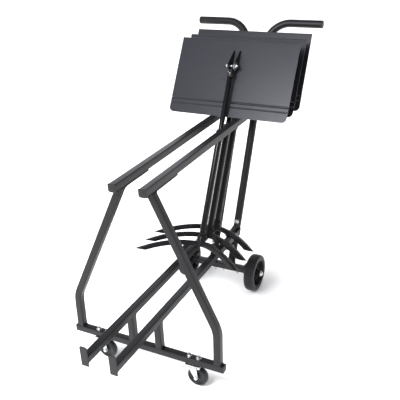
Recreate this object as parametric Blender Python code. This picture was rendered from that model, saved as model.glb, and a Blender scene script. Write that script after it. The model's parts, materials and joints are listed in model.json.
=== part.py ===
"""Music-stand storage cart carrying three nested orchestra stands.

Metres, +Z up, +Y towards the push handle, origin on the floor under the middle of the object.
Distances called "behind" are measured backwards from the front crossbar's centre line.
"""
import math

import bmesh
import bpy
from mathutils import Matrix, Vector

GAP = 0.0003                      # clearance kept between pieces that touch

# Tube sizes
FRAME_TUBE = 0.0254               # square tube of the front frame and the rear beam
RAIL_TUBE = 0.0265                # square tube of the four rails
WALL = 0.0018
HANDLE_RADIUS = 0.0159

# Front frame
CROSSBAR_HALF = 0.2950
CROSSBAR_Z = 0.0984
LEG_X = 0.2760
LEG_TOP_X = 0.0565
LEG_LEAN = 0.0350                 # run over rise: the legs lean back a little
LEG_BEND_Z = 0.2420
LEG_BEND_RADIUS = 0.110
SADDLE = (0.0270, 0.1950, 0.0040)  # plate on each leg's top, under the rail
SADDLE_SETBACK = 0.0060           # rail's front end to the plate's front edge

# Plastic plugs in the open tube ends
PLUG_DEPTH = 0.0140
CAP_FLANGE = 0.0032
CAP_INSET = 0.0004                # flange edge inside the tube's faces
CAP_CHAMFER = 0.0016
GRIP_CAP_FLANGE = 0.0044

# Rails
UPPER_RAIL_X = 0.0554
UPPER_RAIL_Z = 0.7098
UPPER_RAIL_OVERHANG = 0.0260
LOWER_RAIL_X = 0.0535
LOWER_RAIL_Z = 0.2277
LOWER_RAIL_OVERHANG = 0.2680
STOP_SIZE = (0.0270, 0.0036, 0.0740)
STOP_BOTTOM_Z = 0.2027
STOP_CORNERS = (0.0020, 0.0060)   # radii of the plate's lower and upper corners

# Push handle: two posts that lean back and turn outwards into the grips
POST_X = 0.0430
POST_FOOT_BEHIND = 0.5900         # where the post's axis would meet the floor
POST_SLOPE = 0.4700               # run over rise
GRIP_Z = 1.0317
GRIP_HALF = 0.2750
GRIP_BEND_RADIUS = 0.1000
POST_STEPS = 14                   # sides of the post's and the grip cap's round sections

# Flat braces between the posts and the lower rails
BRACE_SIZE = (0.0200, 0.0040, 0.0320)  # width, thickness, length of each bolted end
BRACE_RISE = 0.0080               # rail's top to where the strap meets the post
BRACE_RUN = 0.0600                # sloping stretch, measured along the rail
BRACE_OFFSET = 0.0030             # outwards from the post's axis

# Rear beam, axle and wheels
AXLE_BEHIND = 0.6235
AXLE_Z = 0.0775
AXLE_RADIUS = 0.00635
BEAM_Z = 0.0815
BEAM_HALF = 0.1120
AXLE_END = 0.0060                 # how far the axle stands out past the hub
AXLE_PLATE = 0.0060
AXLE_PLATE_HALF = 0.0200
AXLE_PLATE_CROWN = 0.0120         # axle to the centre of the plate's round top
AXLE_PLATE_DROP = 0.0040          # how far the plate hangs below the beam
AXLE_CAP_RADIUS = 0.0105
AXLE_CAP_HEIGHT = 0.0090
WHEEL_RADIUS = AXLE_Z
WHEEL_X = 0.1545
WHEEL_HALF_WIDTH = 0.0215
HUB_PROUD = 0.0060                # how far the hub stands out past the tyre
RIM_RADIUS = 0.0570
BORE_PLAY = 0.0002                # running clearance of the wheels on their axles
HUB_BORE = AXLE_RADIUS + BORE_PLAY
HUB_RADIUS = 0.0150
WEB_HALF = 0.0030                 # half the thickness of the wheel's disc
TREAD_SHOULDER = 0.0090           # width of the tyre's rounded shoulder

# Casters
CASTER_X = 0.1850
CASTER_RADIUS = 0.0370
CASTER_TRAIL = 0.0125
CASTER_HALF_WIDTH = 0.0120
CASTER_AXLE_RADIUS = 0.0040
CASTER_AXLE_HEAD = (0.0062, 0.0032)  # radius and height of the axle's two ends
CASTER_MOUNT = (0.0580, 0.0360, 0.0025)
CASTER_MOUNT_CORNER = 0.0050
RACE_DEPTH = 0.0045
RACE_RADII = (0.0150, 0.0185)     # at the race's foot and where it meets the plate
FORK_CROWN = (0.0190, 0.0025)     # radius and thickness of the fork's round top
FORK_SHEET = 0.0024
FORK_CLEARANCE = 0.0012           # wheel to each arm of the fork
FORK_TIP = 0.0085                 # half the width of the fork's arms at the axle

# Stands, in their own frame: Z up the tube from the leg hub, Y out of the desk's hidden side
STAND_LEAN = math.radians(28.14)
STAND_BEHIND = 0.4440
STAND_HUB_Z = 0.2847
STAND_PITCH = 0.0730
MAST_RAISE = {1: 0.0, 2: 0.0, 3: 0.0050}  # how far each stand's inner tube is drawn out
DESK_TILT = {1: 3.0, 2: 3.0, 3: 0.0}      # degrees each desk leans back from its own tube
LEG_REACH = 0.2440
LEG_ROOT_DROP = 0.0090            # hub centre to the leg's middle where it starts
LEG_DROP = 0.0735                 # hub centre to the leg's middle line at its tip
LEG_FLOOR = -0.0655               # the feet's flat undersides, below the hub centre
LEG_HEIGHT = 0.0165
LEG_WIDTH = 0.0200
LEG_START = 0.0140                # radius at which a leg leaves the hub
LEG_CHAMFER = 0.0040
HUB_SLEEVE = (0.0130, 0.0180)     # bore and outside radius of the leg hub
HUB_ENDS = (-0.0120, 0.0270)
OUTER_RADIUS = 0.0127
OUTER_BORE = 0.0103
OUTER_FOOT = -0.0080
INNER_RADIUS = 0.0100
INNER_BORE = 0.0084
INNER_FOOT = 0.0500
COLLAR_TOP = 0.4520
COLLAR_LENGTH = 0.0400
COLLAR_RADIUS = 0.0170
INNER_TOP = 0.6635
SPIGOT_DEPTH = 0.0280
NECK = (0.0118, 0.0240)           # radius and height of the tilt head's round neck
TONGUE = (0.0085, 0.0115)         # half width and end radius of the tongue between the ears
PIVOT_HEIGHT = 0.7095
DESK_HALF_WIDTH = 0.2555
DESK_HEIGHT = 0.3185
DESK_BELOW = 0.2000               # pivot down to the desk's free edge
DESK_OFFSET = 0.0290              # pivot to the desk's bracket side
SHEET = 0.0012
SHELF_DEPTH = 0.0300
SHELF_LIP = 0.0100
DESK_CORNER = 0.0200
EAR_HALF_GAP = 0.0118
EAR_THICKNESS = 0.0025
EAR_NOSE = 0.0125                 # radius of the ear's round end about the pivot
BRACKET_ENDS = (-0.0240, 0.0720)  # below and above the pivot
BRACKET_WEB = 0.0160              # top of the web that joins the two ears
PIVOT_RADIUS = 0.0040
PIVOT_NUT = (0.0065, 0.0070)      # radius and height
PIVOT_HEAD_HEIGHT = 0.0110
PIVOT_WASHER = (0.0170, 0.0016)   # radius and thickness

# The origin lies halfway between the front stops and the back of the grips
GRIP_BEHIND = POST_FOOT_BEHIND + POST_SLOPE * GRIP_Z
REACH_BACK = GRIP_BEHIND + HANDLE_RADIUS
REACH_FRONT = LOWER_RAIL_OVERHANG + STOP_SIZE[1] + GAP
FRONT_Y = (REACH_FRONT - REACH_BACK) / 2
AXLE_Y = FRONT_Y + AXLE_BEHIND

SIDES = {"left": -1, "right": 1}


# ---------------------------------------------------------------- materials and objects

def finish(name, colour, roughness, metallic=0.0):
    material = bpy.data.materials.new(name)
    material.use_nodes = True
    shader = material.node_tree.nodes["Principled BSDF"]
    shader.inputs["Base Color"].default_value = (*colour, 1.0)
    shader.inputs["Roughness"].default_value = roughness
    shader.inputs["Metallic"].default_value = metallic
    return material


def make_finishes():
    return {
        "frame": finish("frame_paint", (0.042, 0.042, 0.046), 0.45),
        "desk": finish("desk_paint", (0.075, 0.080, 0.095), 0.40),
        "tube": finish("tube_enamel", (0.012, 0.012, 0.014), 0.18),
        "plastic": finish("cap_plastic", (0.015, 0.015, 0.016), 0.55),
        "zinc": finish("zinc", (0.62, 0.63, 0.66), 0.28, 1.0),
        "tyre": finish("tyre_rubber", (0.020, 0.020, 0.021), 0.75),
        "hub": finish("hub_plastic", (0.030, 0.031, 0.034), 0.50),
    }


def add_object(name, bm, material, parent=None, location=(0, 0, 0)):
    """Turns a bmesh into a named object, smooth-shaded except across its sharp edges."""
    bmesh.ops.recalc_face_normals(bm, faces=bm.faces)
    mesh = bpy.data.meshes.new(name)
    bm.to_mesh(mesh)
    bm.free()
    mesh.shade_smooth()
    mesh.set_sharp_from_angle(angle=math.radians(35))
    mesh.materials.append(material)
    obj = bpy.data.objects.new(name, mesh)
    bpy.context.scene.collection.objects.link(obj)
    obj.parent = parent
    obj.location = location
    return obj


def add_empty(name, location, lean=0.0):
    empty = bpy.data.objects.new(name, None)
    empty.location = location
    empty.rotation_euler = (-lean, 0, 0)
    bpy.context.scene.collection.objects.link(empty)
    return empty


def combine(target, tool, operation):
    """Joins a tool shape to the target, or cuts it away, and hides the tool."""
    modifier = target.modifiers.new(operation.lower(), "BOOLEAN")
    modifier.operation = operation
    modifier.object = tool
    tool.hide_render = True
    tool.display_type = "WIRE"


# ---------------------------------------------------------------- outlines and paths

def square(side):
    half = side / 2
    return [(-half, -half), (half, -half), (half, half), (-half, half)]


def circle(radius, steps):
    return [
        (radius * math.cos(2 * math.pi * i / steps), radius * math.sin(2 * math.pi * i / steps))
        for i in range(steps)
    ]


def rounded(corners, radii, steps=5):
    """An outline through the corners, each replaced by an arc of its own radius."""
    outline = []
    count = len(corners)
    for i, radius in enumerate(radii):
        here = Vector(corners[i])
        before = (Vector(corners[i - 1]) - here).normalized()
        after = (Vector(corners[(i + 1) % count]) - here).normalized()
        if radius == 0:
            outline.append(tuple(here))
            continue
        half = before.angle(after) / 2
        start = here + before * (radius / math.tan(half))
        centre = here + (before + after).normalized() * (radius / math.sin(half))
        sweep_angle = (start - centre).angle_signed(here + after * (radius / math.tan(half)) - centre)
        for step in range(steps + 1):
            turn = Matrix.Rotation(-sweep_angle * step / steps, 2)
            outline.append(tuple(centre + turn @ (start - centre)))
    return outline


def bent_path(start, corner, end, radius, steps=8):
    """A straight run, a bend of the given centre-line radius, and a second straight run."""
    start, corner, end = Vector(start), Vector(corner), Vector(end)
    before = (start - corner).normalized()
    after = (end - corner).normalized()
    half = before.angle(after) / 2
    centre = corner + (before + after).normalized() * (radius / math.sin(half))
    first = corner + before * (radius / math.tan(half)) - centre
    last = corner + after * (radius / math.tan(half)) - centre
    turn = first.angle(last)
    axis = first.cross(last).normalized()
    bend = [centre + Matrix.Rotation(turn * i / steps, 3, axis) @ first for i in range(steps + 1)]
    return [start, *bend, end]


# ---------------------------------------------------------------- solids

def sweep(path, sections, normal, bores=None):
    """A section carried along a planar path; bores make it a tube with open ends."""
    bm = bmesh.new()
    path = [Vector(point) for point in path]
    normal = Vector(normal).normalized()
    skins = [sections] if bores is None else [sections, bores]
    rings = []
    for skin in skins:
        rows = []
        for i, point in enumerate(path):
            into = (point - path[i - 1]).normalized() if i else (path[1] - point).normalized()
            out = (path[i + 1] - point).normalized() if i + 1 < len(path) else into
            along = (into + out).normalized()
            mitre = 1 / max(along.dot(into), 0.5)
            side = along.cross(normal)
            outline = skin[i] if isinstance(skin[0], list) else skin
            rows.append([bm.verts.new(point + normal * a + side * b * mitre) for a, b in outline])
        rings.append(rows)
        for near, far in zip(rows, rows[1:]):
            for j in range(len(near)):
                k = (j + 1) % len(near)
                bm.faces.new((near[j], near[k], far[k], far[j]))
    for end in (0, -1):
        outer = rings[0][end]
        if bores is None:
            bm.faces.new(outer)
            continue
        inner = rings[1][end]
        for j in range(len(outer)):
            k = (j + 1) % len(outer)
            bm.faces.new((outer[j], outer[k], inner[k], inner[j]))
    return bm


def square_tube(path, side, normal):
    return sweep(path, square(side), normal, square(side - 2 * WALL))


def block(low, high):
    bm = bmesh.new()
    low, high = Vector(low), Vector(high)
    size = Matrix.Diagonal((*(high - low), 1))
    bmesh.ops.create_cube(bm, size=1, matrix=Matrix.Translation((low + high) / 2) @ size)
    return bm


def plate(outline, axis, low, high):
    """An outline extruded along an axis. Outlines are (y, z), (x, z) and (x, y) in that order."""
    bm = bmesh.new()
    place = {
        "X": lambda a, b, c: (c, a, b),
        "Y": lambda a, b, c: (a, c, b),
        "Z": lambda a, b, c: (a, b, c),
    }[axis]
    rows = [[bm.verts.new(place(a, b, c)) for a, b in outline] for c in (low, high)]
    for j in range(len(outline)):
        k = (j + 1) % len(outline)
        bm.faces.new((rows[0][j], rows[0][k], rows[1][k], rows[1][j]))
    bm.faces.new(rows[0])
    bm.faces.new(rows[1])
    return bm


def turned(profile, steps, axis="Z", ring=False):
    """A profile of (radius, height) turned about an axis; a ring's profile closes on itself."""
    bm = bmesh.new()
    rows = []
    for radius, height in profile:
        if radius == 0:
            rows.append([bm.verts.new((0, 0, height))])
        else:
            rows.append([bm.verts.new((a, b, height)) for a, b in circle(radius, steps)])
    pairs = list(zip(rows, rows[1:]))
    if ring:
        pairs.append((rows[-1], rows[0]))
    for near, far in pairs:
        for j in range(steps):
            k = (j + 1) % steps
            corners = [near[j % len(near)], near[k % len(near)], far[k % len(far)], far[j % len(far)]]
            bm.faces.new(list(dict.fromkeys(corners)))
    if axis == "X":
        bm.transform(Matrix.Rotation(math.radians(90), 4, "Y"))
    if axis == "Y":
        bm.transform(Matrix.Rotation(math.radians(-90), 4, "X"))
    return bm


def rod(radius, reach, steps, axis="X"):
    """A plain round bar through the origin, reaching equally far each way."""
    return turned([(0, -reach), (radius, -reach), (radius, reach), (0, reach)], steps, axis)


# ---------------------------------------------------------------- cart frame

def post_behind(z):
    """How far behind the crossbar the handle post's axis is at a height."""
    return POST_FOOT_BEHIND + POST_SLOPE * z


def make_crossbar(looks):
    ends = [(-CROSSBAR_HALF, FRONT_Y, CROSSBAR_Z), (CROSSBAR_HALF, FRONT_Y, CROSSBAR_Z)]
    add_object("front_crossbar", square_tube(ends, FRAME_TUBE, (0, 0, 1)), looks["frame"])
    for side, sign in SIDES.items():
        plug = cap_along((sign, 0, 0), (sign * CROSSBAR_HALF, FRONT_Y, CROSSBAR_Z), FRAME_TUBE)
        add_object("crossbar_plug_" + side, plug, looks["plastic"])


def cap_along(direction, end, side):
    """A square plug: a flange over the tube's end and a boss inside it."""
    out = Vector(direction)
    end = Vector(end)
    wide = side / 2 - CAP_INSET
    narrow = side / 2 - WALL - GAP
    stations = (-PLUG_DEPTH, GAP, GAP, CAP_FLANGE - CAP_CHAMFER, CAP_FLANGE)
    halves = (narrow, narrow, wide, wide, wide - CAP_CHAMFER)
    normal = (0, 0, 1) if abs(out.z) < 0.5 else (0, 1, 0)
    bm = bmesh.new()
    across = out.cross(Vector(normal))
    rows = []
    for station, half in zip(stations, halves):
        centre = end + out * station
        rows.append([bm.verts.new(centre + Vector(normal) * a + across * b) for a, b in square(2 * half)])
    for near, far in zip(rows, rows[1:]):
        for j in range(4):
            bm.faces.new((near[j], near[(j + 1) % 4], far[(j + 1) % 4], far[j]))
    bm.faces.new(rows[0])
    bm.faces.new(rows[-1])
    return bm


def make_front_legs(looks):
    """Bent legs that lean back a little; each carries a saddle plate under its rail."""
    low = CROSSBAR_Z + FRAME_TUBE / 2 + GAP
    saddle_top = UPPER_RAIL_Z - RAIL_TUBE / 2 - GAP
    width, length, thickness = SADDLE
    high = saddle_top - thickness / 2
    normal = (0, 1, -LEG_LEAN)
    for side, sign in SIDES.items():
        corners = [(sign * LEG_X, low), (sign * LEG_X, LEG_BEND_Z), (sign * LEG_TOP_X, high)]
        foot, knee, top = [(x, FRONT_Y + LEG_LEAN * (z - low), z) for x, z in corners]
        path = bent_path(foot, knee, top, LEG_BEND_RADIUS)
        tube = square_tube(path, FRAME_TUBE, normal)
        flatten_end(tube, path[0], low)
        flatten_end(tube, path[-1], high)
        leg = add_object("front_leg_" + side, tube, looks["frame"])
        front = FRONT_Y - UPPER_RAIL_OVERHANG + SADDLE_SETBACK
        middle = sign * UPPER_RAIL_X
        saddle = block((middle - width / 2, front, saddle_top - thickness),
                       (middle + width / 2, front + length, saddle_top))
        combine(leg, add_object("saddle_" + side, saddle, looks["frame"]), "UNION")


def flatten_end(bm, end, height):
    """Cuts a slanted tube level: its end ring slides along the tube to one height."""
    ring = [vert for vert in bm.verts if (vert.co - end).length < FRAME_TUBE]
    for vert in ring:
        neighbours = [edge.other_vert(vert).co for edge in vert.link_edges]
        run = vert.co - max(neighbours, key=lambda co: (co - end).length)
        vert.co += run * ((height - vert.co.z) / run.z)


def make_rails(looks):
    """The rails' rear ends are cut to the slope of the handle posts they are welded to."""
    lie = HANDLE_RADIUS * math.sqrt(1 + POST_SLOPE ** 2) + GAP
    levels = (
        ("upper", UPPER_RAIL_X, UPPER_RAIL_Z, UPPER_RAIL_OVERHANG),
        ("lower", LOWER_RAIL_X, LOWER_RAIL_Z, LOWER_RAIL_OVERHANG),
    )
    for level, x, z, overhang in levels:
        for side, sign in SIDES.items():
            front = Vector((x, FRONT_Y - overhang, z))
            back = Vector((x, FRONT_Y + post_behind(z) - lie, z))
            rail = square_tube([front, back], RAIL_TUBE, (0, 0, 1))
            for vert in rail.verts:
                if (vert.co - back).length < RAIL_TUBE:
                    vert.co.y += POST_SLOPE * (vert.co.z - z)
            bmesh.ops.scale(rail, vec=(sign, 1, 1), verts=rail.verts)
            front.x *= sign
            add_object(f"{level}_rail_{side}", rail, looks["frame"])
            if level == "upper":
                add_object("rail_cap_" + side, cap_along((0, -1, 0), front, RAIL_TUBE), looks["plastic"])
            else:
                make_stop(looks, side, sign)


def make_stop(looks, side, sign):
    width, thickness, height = STOP_SIZE
    back = FRONT_Y - LOWER_RAIL_OVERHANG - GAP
    middle = sign * LOWER_RAIL_X
    low, high = STOP_BOTTOM_Z, STOP_BOTTOM_Z + height
    left, right = middle - width / 2, middle + width / 2
    lower, upper = STOP_CORNERS
    outline = rounded([(left, low), (right, low), (right, high), (left, high)], [lower, lower, upper, upper], 3)
    add_object("rail_stop_" + side, plate(outline, "Y", back - thickness, back), looks["frame"])


def make_supports(looks):
    """Short uprights between the crossbar and the lower rails."""
    low = CROSSBAR_Z + FRAME_TUBE / 2 + GAP
    high = LOWER_RAIL_Z - RAIL_TUBE / 2 - GAP
    for side, sign in SIDES.items():
        ends = [(sign * LOWER_RAIL_X, FRONT_Y, low), (sign * LOWER_RAIL_X, FRONT_Y, high)]
        add_object("rail_support_" + side, square_tube(ends, FRAME_TUBE, (0, 1, 0)), looks["frame"])


def make_handle(looks):
    foot_z = BEAM_Z + FRAME_TUBE / 2 + GAP
    for side, sign in SIDES.items():
        foot = (sign * POST_X, FRONT_Y + post_behind(foot_z), foot_z)
        corner = (sign * POST_X, FRONT_Y + GRIP_BEHIND, GRIP_Z)
        grip = (sign * GRIP_HALF, FRONT_Y + GRIP_BEHIND, GRIP_Z)
        path = bent_path(foot, corner, grip, GRIP_BEND_RADIUS, 9)
        normal = (path[0] - path[1]).cross(path[-1] - path[-2])
        bore = circle(HANDLE_RADIUS - WALL, POST_STEPS)
        post = sweep(path, circle(HANDLE_RADIUS, POST_STEPS), normal, bore)
        for vert in post.verts:
            if (vert.co - path[0]).length < 1.5 * HANDLE_RADIUS:
                vert.co.y += POST_SLOPE * (foot_z - vert.co.z)
                vert.co.z = foot_z
        add_object("handle_post_" + side, post, looks["frame"])
        inner = (HANDLE_RADIUS - WALL) * math.cos(math.pi / POST_STEPS) - GAP
        outer = HANDLE_RADIUS - CAP_INSET
        profile = [
            (0, -PLUG_DEPTH), (inner, -PLUG_DEPTH), (inner, GAP), (outer, GAP),
            (outer, GRIP_CAP_FLANGE - CAP_CHAMFER), (outer - CAP_CHAMFER, GRIP_CAP_FLANGE), (0, GRIP_CAP_FLANGE),
        ]
        cap = turned(profile, POST_STEPS, "X")
        if sign < 0:
            cap.transform(Matrix.Rotation(math.pi, 4, "Z"))
        add_object("grip_cap_" + side, cap, looks["plastic"], location=grip)


def make_braces(looks):
    """Bent flat bars: one end lies against each post, the other on the lower rail."""
    width, thickness, tab = BRACE_SIZE
    lean = math.sqrt(1 + POST_SLOPE ** 2)
    lie = HANDLE_RADIUS * lean + (GAP + thickness / 2) * lean
    rail_top = LOWER_RAIL_Z + RAIL_TUBE / 2 + GAP + thickness / 2
    post_low = rail_top + BRACE_RISE
    post_high = post_low + tab / lean
    heel = post_behind(post_low) - lie - BRACE_RUN
    for side, sign in SIDES.items():
        middle = sign * (POST_X + BRACE_OFFSET)
        path = [
            (middle, FRONT_Y + post_behind(post_high) - lie, post_high),
            (middle, FRONT_Y + post_behind(post_low) - lie, post_low),
            (middle, FRONT_Y + heel, rail_top),
            (middle, FRONT_Y + heel - tab, rail_top),
        ]
        half, thick = width / 2, thickness / 2
        section = [(-half, -thick), (half, -thick), (half, thick), (-half, thick)]
        add_object("post_brace_" + side, sweep(path, section, (1, 0, 0)), looks["frame"])


def make_rear_axle(looks):
    ends = [(-BEAM_HALF, AXLE_Y, BEAM_Z), (BEAM_HALF, AXLE_Y, BEAM_Z)]
    add_object("rear_beam", square_tube(ends, FRAME_TUBE, (0, 0, 1)), looks["frame"])
    hub_end = WHEEL_X + WHEEL_HALF_WIDTH + HUB_PROUD
    reach = hub_end + AXLE_END
    add_object("rear_axle", rod(AXLE_RADIUS, reach, 16), looks["zinc"], location=(0, AXLE_Y, AXLE_Z))
    half = AXLE_PLATE_HALF
    crown = AXLE_Z + AXLE_PLATE_CROWN
    low = BEAM_Z - FRAME_TUBE / 2 - AXLE_PLATE_DROP
    outline = [(-half, low), (half, low), (half, crown)]
    outline += [(half * math.cos(math.radians(a)), crown + half * math.sin(math.radians(a)))
                for a in range(18, 180, 18)]
    outline += [(-half, crown)]
    outline = [(AXLE_Y + y, z) for y, z in outline]
    for side, sign in SIDES.items():
        near = sign * (BEAM_HALF + GAP)
        far = sign * (BEAM_HALF + GAP + AXLE_PLATE)
        bracket = add_object("axle_bracket_" + side, plate(outline, "X", near, far), looks["frame"])
        cutter = add_object("bore_" + side, rod(HUB_BORE, 2 * AXLE_PLATE, 16), looks["frame"],
                            location=(far, AXLE_Y, AXLE_Z))
        combine(bracket, cutter, "DIFFERENCE")
        socket = AXLE_RADIUS + GAP
        depth = AXLE_END + GAP
        profile = [(0, depth), (socket, depth), (socket, 0), (AXLE_CAP_RADIUS, 0),
                   (AXLE_CAP_RADIUS, 0.4 * AXLE_CAP_HEIGHT), (0.8 * AXLE_CAP_RADIUS, 0.8 * AXLE_CAP_HEIGHT),
                   (0, AXLE_CAP_HEIGHT)]
        cap = turned(profile, 16, "X")
        if sign < 0:
            cap.transform(Matrix.Rotation(math.pi, 4, "Z"))
        place = (sign * (hub_end + GAP), AXLE_Y, AXLE_Z)
        add_object("axle_cap_" + side, cap, looks["zinc"], location=place)


def make_rear_wheels(looks):
    half, shoulder = WHEEL_HALF_WIDTH, TREAD_SHOULDER
    side_wall = [
        (RIM_RADIUS, half - shoulder / 3), (RIM_RADIUS + shoulder / 3, half),
        (WHEEL_RADIUS - 0.8 * shoulder, half), (WHEEL_RADIUS - 0.2 * shoulder, half - shoulder / 2),
        (WHEEL_RADIUS, half - shoulder),
    ]
    tyre = [(radius, -height) for radius, height in side_wall] + side_wall[::-1]
    inboard = WHEEL_X - BEAM_HALF - AXLE_PLATE - 3 * GAP
    rim, lip = RIM_RADIUS - GAP, 0.0040
    wheel = [
        (HUB_BORE, -inboard), (HUB_RADIUS - lip / 2, -inboard), (HUB_RADIUS, -2 * WEB_HALF),
        (rim - 2 * lip, -WEB_HALF), (rim - lip, -half + lip), (rim, -half + lip), (rim, half - lip),
        (rim - lip, half - lip), (rim - 2 * lip, WEB_HALF), (HUB_RADIUS + lip, 2 * WEB_HALF),
        (HUB_RADIUS, half + HUB_PROUD), (HUB_BORE, half + HUB_PROUD),
    ]
    for side, sign in SIDES.items():
        for name, profile, look in (("rear_tyre_", tyre, "tyre"), ("rear_wheel_", wheel, "hub")):
            shape = turned(profile, 28, "X", ring=True)
            if sign < 0:
                shape.transform(Matrix.Rotation(math.pi, 4, "Z"))
            add_object(name + side, shape, looks[look], location=(sign * WHEEL_X, AXLE_Y, AXLE_Z))


# ---------------------------------------------------------------- casters

def make_casters(looks):
    length, width, thickness = CASTER_MOUNT
    plate_top = CROSSBAR_Z - FRAME_TUBE / 2 - GAP
    plate_low = plate_top - thickness
    race_low = plate_low - RACE_DEPTH
    race_foot, race_top = RACE_RADII
    for side, sign in SIDES.items():
        swivel = add_empty("swivel_" + side, (sign * CASTER_X, FRONT_Y, 0))
        x, y = length / 2, width / 2
        outline = rounded([(-x, -y), (x, -y), (x, y), (-x, y)], [CASTER_MOUNT_CORNER] * 4, 3)
        flat = plate(outline, "Z", plate_low, plate_top)
        mount = add_object("caster_plate_" + side, flat, looks["zinc"], swivel)
        into_plate = plate_low + thickness / 2
        race = turned([(0, race_low), (race_foot, race_low), (race_top, into_plate), (0, into_plate)], 24)
        combine(mount, add_object("race_" + side, race, looks["zinc"], swivel), "UNION")
        make_fork(looks, side, swivel, race_low - GAP)
        make_caster_wheel(looks, side, swivel)


def make_fork(looks, side, swivel, crown):
    """A round top under the race with two arms down to the axle, which trails behind the swivel."""
    radius, thickness = FORK_CROWN
    crown_low = crown - thickness
    edge = thickness / 3
    profile = [(0, crown_low), (radius, crown_low), (radius, crown - edge), (radius - edge, crown), (0, crown)]
    disc = turned(profile, 24)
    fork = add_object("caster_fork_" + side, disc, looks["zinc"], swivel)
    shoulder, arm_top = radius - thickness, crown - thickness / 2
    tip_low = CASTER_RADIUS - FORK_TIP
    cheek = rounded(
        [(-shoulder, arm_top), (CASTER_TRAIL - FORK_TIP, tip_low), (CASTER_TRAIL + FORK_TIP, tip_low),
         (shoulder, arm_top)],
        [0, 0.7 * FORK_TIP, 0.7 * FORK_TIP, 0], 3)
    inside = CASTER_HALF_WIDTH + FORK_CLEARANCE
    for number, low in enumerate((-inside - FORK_SHEET, inside)):
        arm = plate(cheek, "Y", low, low + FORK_SHEET)
        combine(fork, add_object(f"arm_{side}_{number}", arm, looks["zinc"], swivel), "UNION")
    centre = (CASTER_TRAIL, 0, CASTER_RADIUS)
    hole = rod(CASTER_AXLE_RADIUS + GAP, 2 * CASTER_HALF_WIDTH, 12, "Y")
    combine(fork, add_object("hole_" + side, hole, looks["zinc"], swivel, centre), "DIFFERENCE")


def make_caster_wheel(looks, side, swivel):
    centre = (CASTER_TRAIL, 0, CASTER_RADIUS)
    head, head_height = CASTER_AXLE_HEAD
    grip = CASTER_HALF_WIDTH + FORK_CLEARANCE + FORK_SHEET + GAP
    end = grip + head_height
    pin = turned([(0, -end), (head, -end), (head, -grip), (CASTER_AXLE_RADIUS, -grip),
                  (CASTER_AXLE_RADIUS, grip), (head, grip), (head, end), (0, end)], 12, "Y")
    add_object("caster_axle_" + side, pin, looks["zinc"], swivel, centre)
    half, dish = CASTER_HALF_WIDTH, CASTER_HALF_WIDTH / 4
    hub, rim = 0.28 * CASTER_RADIUS, 0.70 * CASTER_RADIUS
    half_profile = [
        (CASTER_AXLE_RADIUS + BORE_PLAY, half), (hub, half), (hub + dish, half - dish), (rim - dish, half - dish),
        (rim, half), (CASTER_RADIUS - dish, half), (CASTER_RADIUS, half - dish),
    ]
    profile = [(radius, -height) for radius, height in half_profile] + half_profile[::-1]
    add_object("caster_wheel_" + side, turned(profile, 24, "Y", ring=True), looks["tyre"], swivel, centre)


# ---------------------------------------------------------------- music stands

def stand_leg(angle):
    """One arched leg of even depth. Its foot is cut flat where it meets the floor the stand is made for."""
    stations = 10
    half, chamfer = LEG_WIDTH / 2, LEG_CHAMFER
    top, low = LEG_HEIGHT / 2, -LEG_HEIGHT / 2
    section = [(-half, low), (-half, top - chamfer), (chamfer - half, top), (half - chamfer, top),
               (half, top - chamfer), (half, low)]
    path = []
    for i in range(stations):
        t = i / (stations - 1)
        out = LEG_START + (LEG_REACH - LEG_START) * t
        path.append((0, -out, -LEG_ROOT_DROP - (LEG_DROP - LEG_ROOT_DROP) * t * t))
    bm = sweep(path, section, (1, 0, 0))
    for vert in bm.verts:
        floor = LEG_FLOOR if abs(vert.co.x) > half - chamfer / 2 else LEG_FLOOR + 0.0020
        lift = 0.0010 if vert.co.z < floor - LEG_HEIGHT / 4 else 0
        vert.co.z = max(vert.co.z, floor + lift)
    bm.transform(Matrix.Rotation(angle, 4, "Z"))
    return bm


def make_base(looks, number, stand):
    bore, outside = HUB_SLEEVE
    low, high = HUB_ENDS
    edge = (outside - bore) / 2
    hub = turned([(bore, low), (outside, low), (outside, high - 2 * edge), (outside - edge, high), (bore, high)],
                 24, ring=True)
    base = add_object(f"stand_{number}_base", hub, looks["tube"], stand)
    for leg, angle in enumerate((60, -60, 180)):
        shape = stand_leg(math.radians(angle))
        tool = add_object(f"leg_{number}_{leg}", shape, looks["tube"], stand)
        combine(base, tool, "UNION")


def make_tubes(looks, number, stand, mast):
    collar_low = COLLAR_TOP - COLLAR_LENGTH
    edge = (COLLAR_RADIUS - OUTER_RADIUS) / 2
    outer = [
        (OUTER_BORE, OUTER_FOOT), (OUTER_RADIUS, OUTER_FOOT), (OUTER_RADIUS, collar_low),
        (COLLAR_RADIUS, collar_low), (COLLAR_RADIUS, COLLAR_TOP - 2 * edge), (COLLAR_RADIUS - edge, COLLAR_TOP),
        (OUTER_BORE, COLLAR_TOP),
    ]
    add_object(f"stand_{number}_outer_tube", turned(outer, 20, ring=True), looks["tube"], stand)
    inner = [(INNER_BORE, INNER_FOOT), (INNER_RADIUS, INNER_FOOT), (INNER_RADIUS, INNER_TOP),
             (INNER_BORE, INNER_TOP)]
    add_object(f"stand_{number}_inner_tube", turned(inner, 20, ring=True), looks["tube"], mast)


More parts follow.
